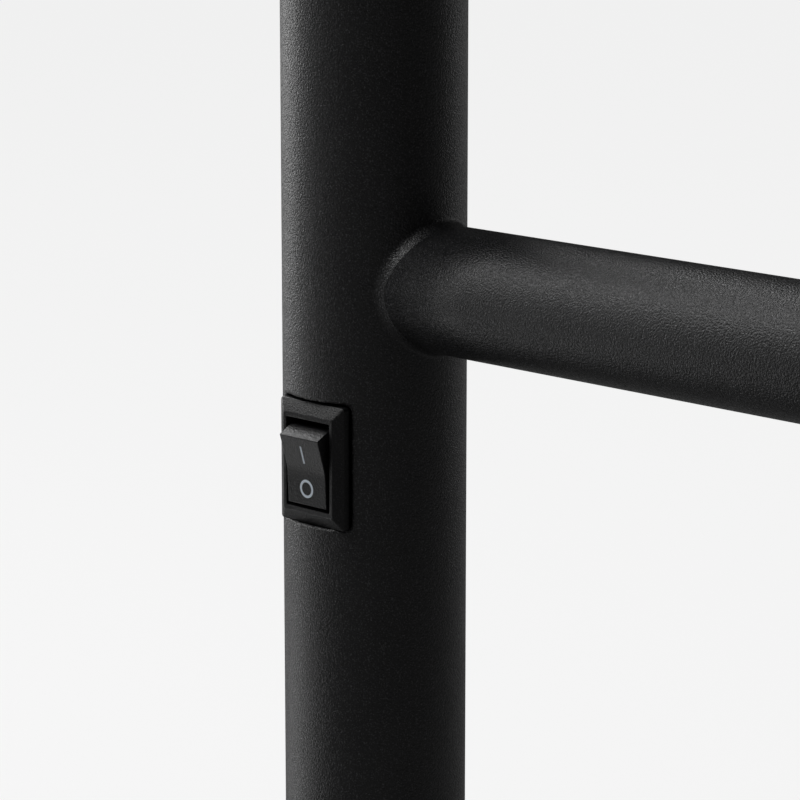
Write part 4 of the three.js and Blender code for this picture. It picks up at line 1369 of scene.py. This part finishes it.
def split_by_sight(
    tree: bpy.types.NodeTree, unseen: bpy.types.Node, seen: bpy.types.Node
) -> bpy.types.NodeSocket:
    """Shows one shader to the lens and another to every other ray.

    Args:
        tree: The node tree.
        unseen: Shader that lights the rack.
        seen: Shader that the lens sees.

    Returns:
        Socket with the two put together.
    """
    sight = add_node(tree, "ShaderNodeLightPath").outputs["Is Camera Ray"]
    mix = add_node(tree, "ShaderNodeMixShader", {"Fac": sight})
    tree.links.new(unseen.outputs[0], mix.inputs[1])
    tree.links.new(seen.outputs[0], mix.inputs[2])
    return mix.outputs[0]


@dataclass
class Studio:
    """Camera, pale floor and soft lights.

    Attributes:
        azimuth: The camera's bearing round the rack, in degrees from straight in front.
        elevation: The camera's height over the joint, in degrees.
        distance: From the lens to the left upright's axis.
        lens_mm: Focal length over a 36 mm sensor.
        aim_right: How far the lens's axis passes to the right of the upright's axis.
        aim_below: How far it passes below the lowest rail's axis.
        room: Strength of the dim light from all round.
        near_glow: Light that the floor sends back near the rack and on every side but one.
        far_glow: Light that it sends back well out on that side.
        glow_bearing: Bearing of that side, in degrees counted as a softbox's is.
        glow_band: Distances on that side where the light starts and stops rising.
        seen_glow: Light that the floor sends to the lens.
    """

    azimuth: float = 44.04
    elevation: float = 12.44
    distance: float = 583.5 * MM
    lens_mm: float = 150.9
    aim_right: float = 4.39 * MM
    aim_below: float = 21.74 * MM
    room: float = 0.017
    near_glow: float = 0.15
    far_glow: float = 0.2
    glow_bearing: float = 180.0
    glow_band: tuple[float, float] = (0.5, 1.1)
    seen_glow: float = 0.87

    def joint(self) -> Vector:
        """The point below the joint of the left upright and the lowest rail that the lights face."""
        return Vector((LEFT_AXIS, 0, centre_of("rail_1").z - self.aim_below))

    def camera(self) -> None:
        """Sets the camera, turned to the joint but passing a little to its right."""
        data = bpy.data.cameras.new("camera")
        data.lens, data.sensor_width = self.lens_mm, 36.0
        data.clip_start, data.clip_end = 0.01, 100.0
        back = towards(self.azimuth, self.elevation)
        a = math.radians(self.azimuth)
        aim = self.joint() + Vector((math.cos(a), math.sin(a), 0)) * self.aim_right
        bpy.context.scene.camera = hang("camera", data, aim + back * self.distance, back)

    def floor(self) -> None:
        """Lays a wide floor under the pads, which glows to the lens so that it stays pale between lights, and
        glows onto the rack as painted bounce light that grows brighter well out on one side.
        """
        reach, drop = 30.0, 0.2 * MM
        corners = np.array([[x * reach, y * reach, -drop] for x, y in ((-1, -1), (1, -1), (1, 1), (-1, 1))])
        floor = make_piece("floor", Sheet(corners, [(0, 1, 2, 3)]), Wall.SKIN)
        material = bpy.data.materials.new("pale_floor")
        material.use_nodes = True
        tree = material.node_tree
        tree.nodes.clear()
        place = add_node(tree, "ShaderNodeTexCoord").outputs["Object"]
        beyond = add_node(tree, "ShaderNodeVectorMath", operation="DOT_PRODUCT")
        tree.links.new(place, beyond.inputs[0])
        beyond.inputs[1].default_value = towards(self.azimuth - self.glow_bearing, 0.0)
        glows = (self.near_glow, self.far_glow)
        level = beyond.outputs["Value"]
        bounce = banded(tree, level, self.glow_band, glows, interpolation_type="SMOOTHSTEP")
        # Painted bounce light: the floor glows onto the rack, brighter well out on one side.
        bounce_glow = add_node(tree, "ShaderNodeEmission", {"Strength": bounce})
        pale = add_node(tree, "ShaderNodeBsdfDiffuse", values={"Color": linear("454545")})
        shine = {"Color": linear("ffffff"), "Strength": self.seen_glow}
        glow = add_node(tree, "ShaderNodeEmission", values=shine)
        seen = add_node(tree, "ShaderNodeAddShader")
        tree.links.new(pale.outputs[0], seen.inputs[0])
        tree.links.new(glow.outputs[0], seen.inputs[1])
        add_node(tree, "ShaderNodeOutputMaterial", {"Surface": split_by_sight(tree, bounce_glow, seen)})
        floor.data.materials.append(material)

    def light(self, box: Softbox) -> None:
        """Hangs one softbox, turned to the joint; the camera itself doesn't see it.

        Args:
            box: Its place, size and power.
        """
        data = bpy.data.lights.new(box.name, "AREA")
        data.shape, data.size, data.size_y, data.energy = "RECTANGLE", box.width, box.tall, box.power
        away = towards(self.azimuth - box.bearing, box.height)
        hang(box.name, data, self.joint() + away * box.distance, away).visible_camera = False

    def world(self) -> None:
        """Sets a pale backdrop for the lens over a dim room."""
        world = bpy.data.worlds.new("room")
        bpy.context.scene.world = world
        world.use_nodes = True
        tree = world.node_tree
        tree.nodes.clear()
        backdrop, white = linear("f5f5f5"), linear("ffffff")
        pale = add_node(tree, "ShaderNodeBackground", values={"Color": backdrop, "Strength": 1.0})
        dim = add_node(tree, "ShaderNodeBackground", values={"Color": white, "Strength": self.room})
        add_node(tree, "ShaderNodeOutputWorld", {"Surface": split_by_sight(tree, dim, pale)})
        bpy.context.scene.view_settings.view_transform = "Standard"

    def build(self) -> None:
        """Sets up the whole studio."""
        self.camera()
        self.floor()
        for box in SOFTBOXES:
            self.light(box)
        self.world()


def main() -> None:
    """Builds the studio and every sub-assembly in order."""
    logging.basicConfig(level=logging.INFO, format="%(name)s: %(message)s")
    Studio().build()
    paint = Paintbox(FINISHES)
    dress_kept_nodes(paint)
    Ladder(paint).build()
    EndCaps(paint).build()
    Feet(paint).build()
    RockerSwitch(paint).build()
    CableGland(paint).build()


if __name__ == "__main__":
    main()
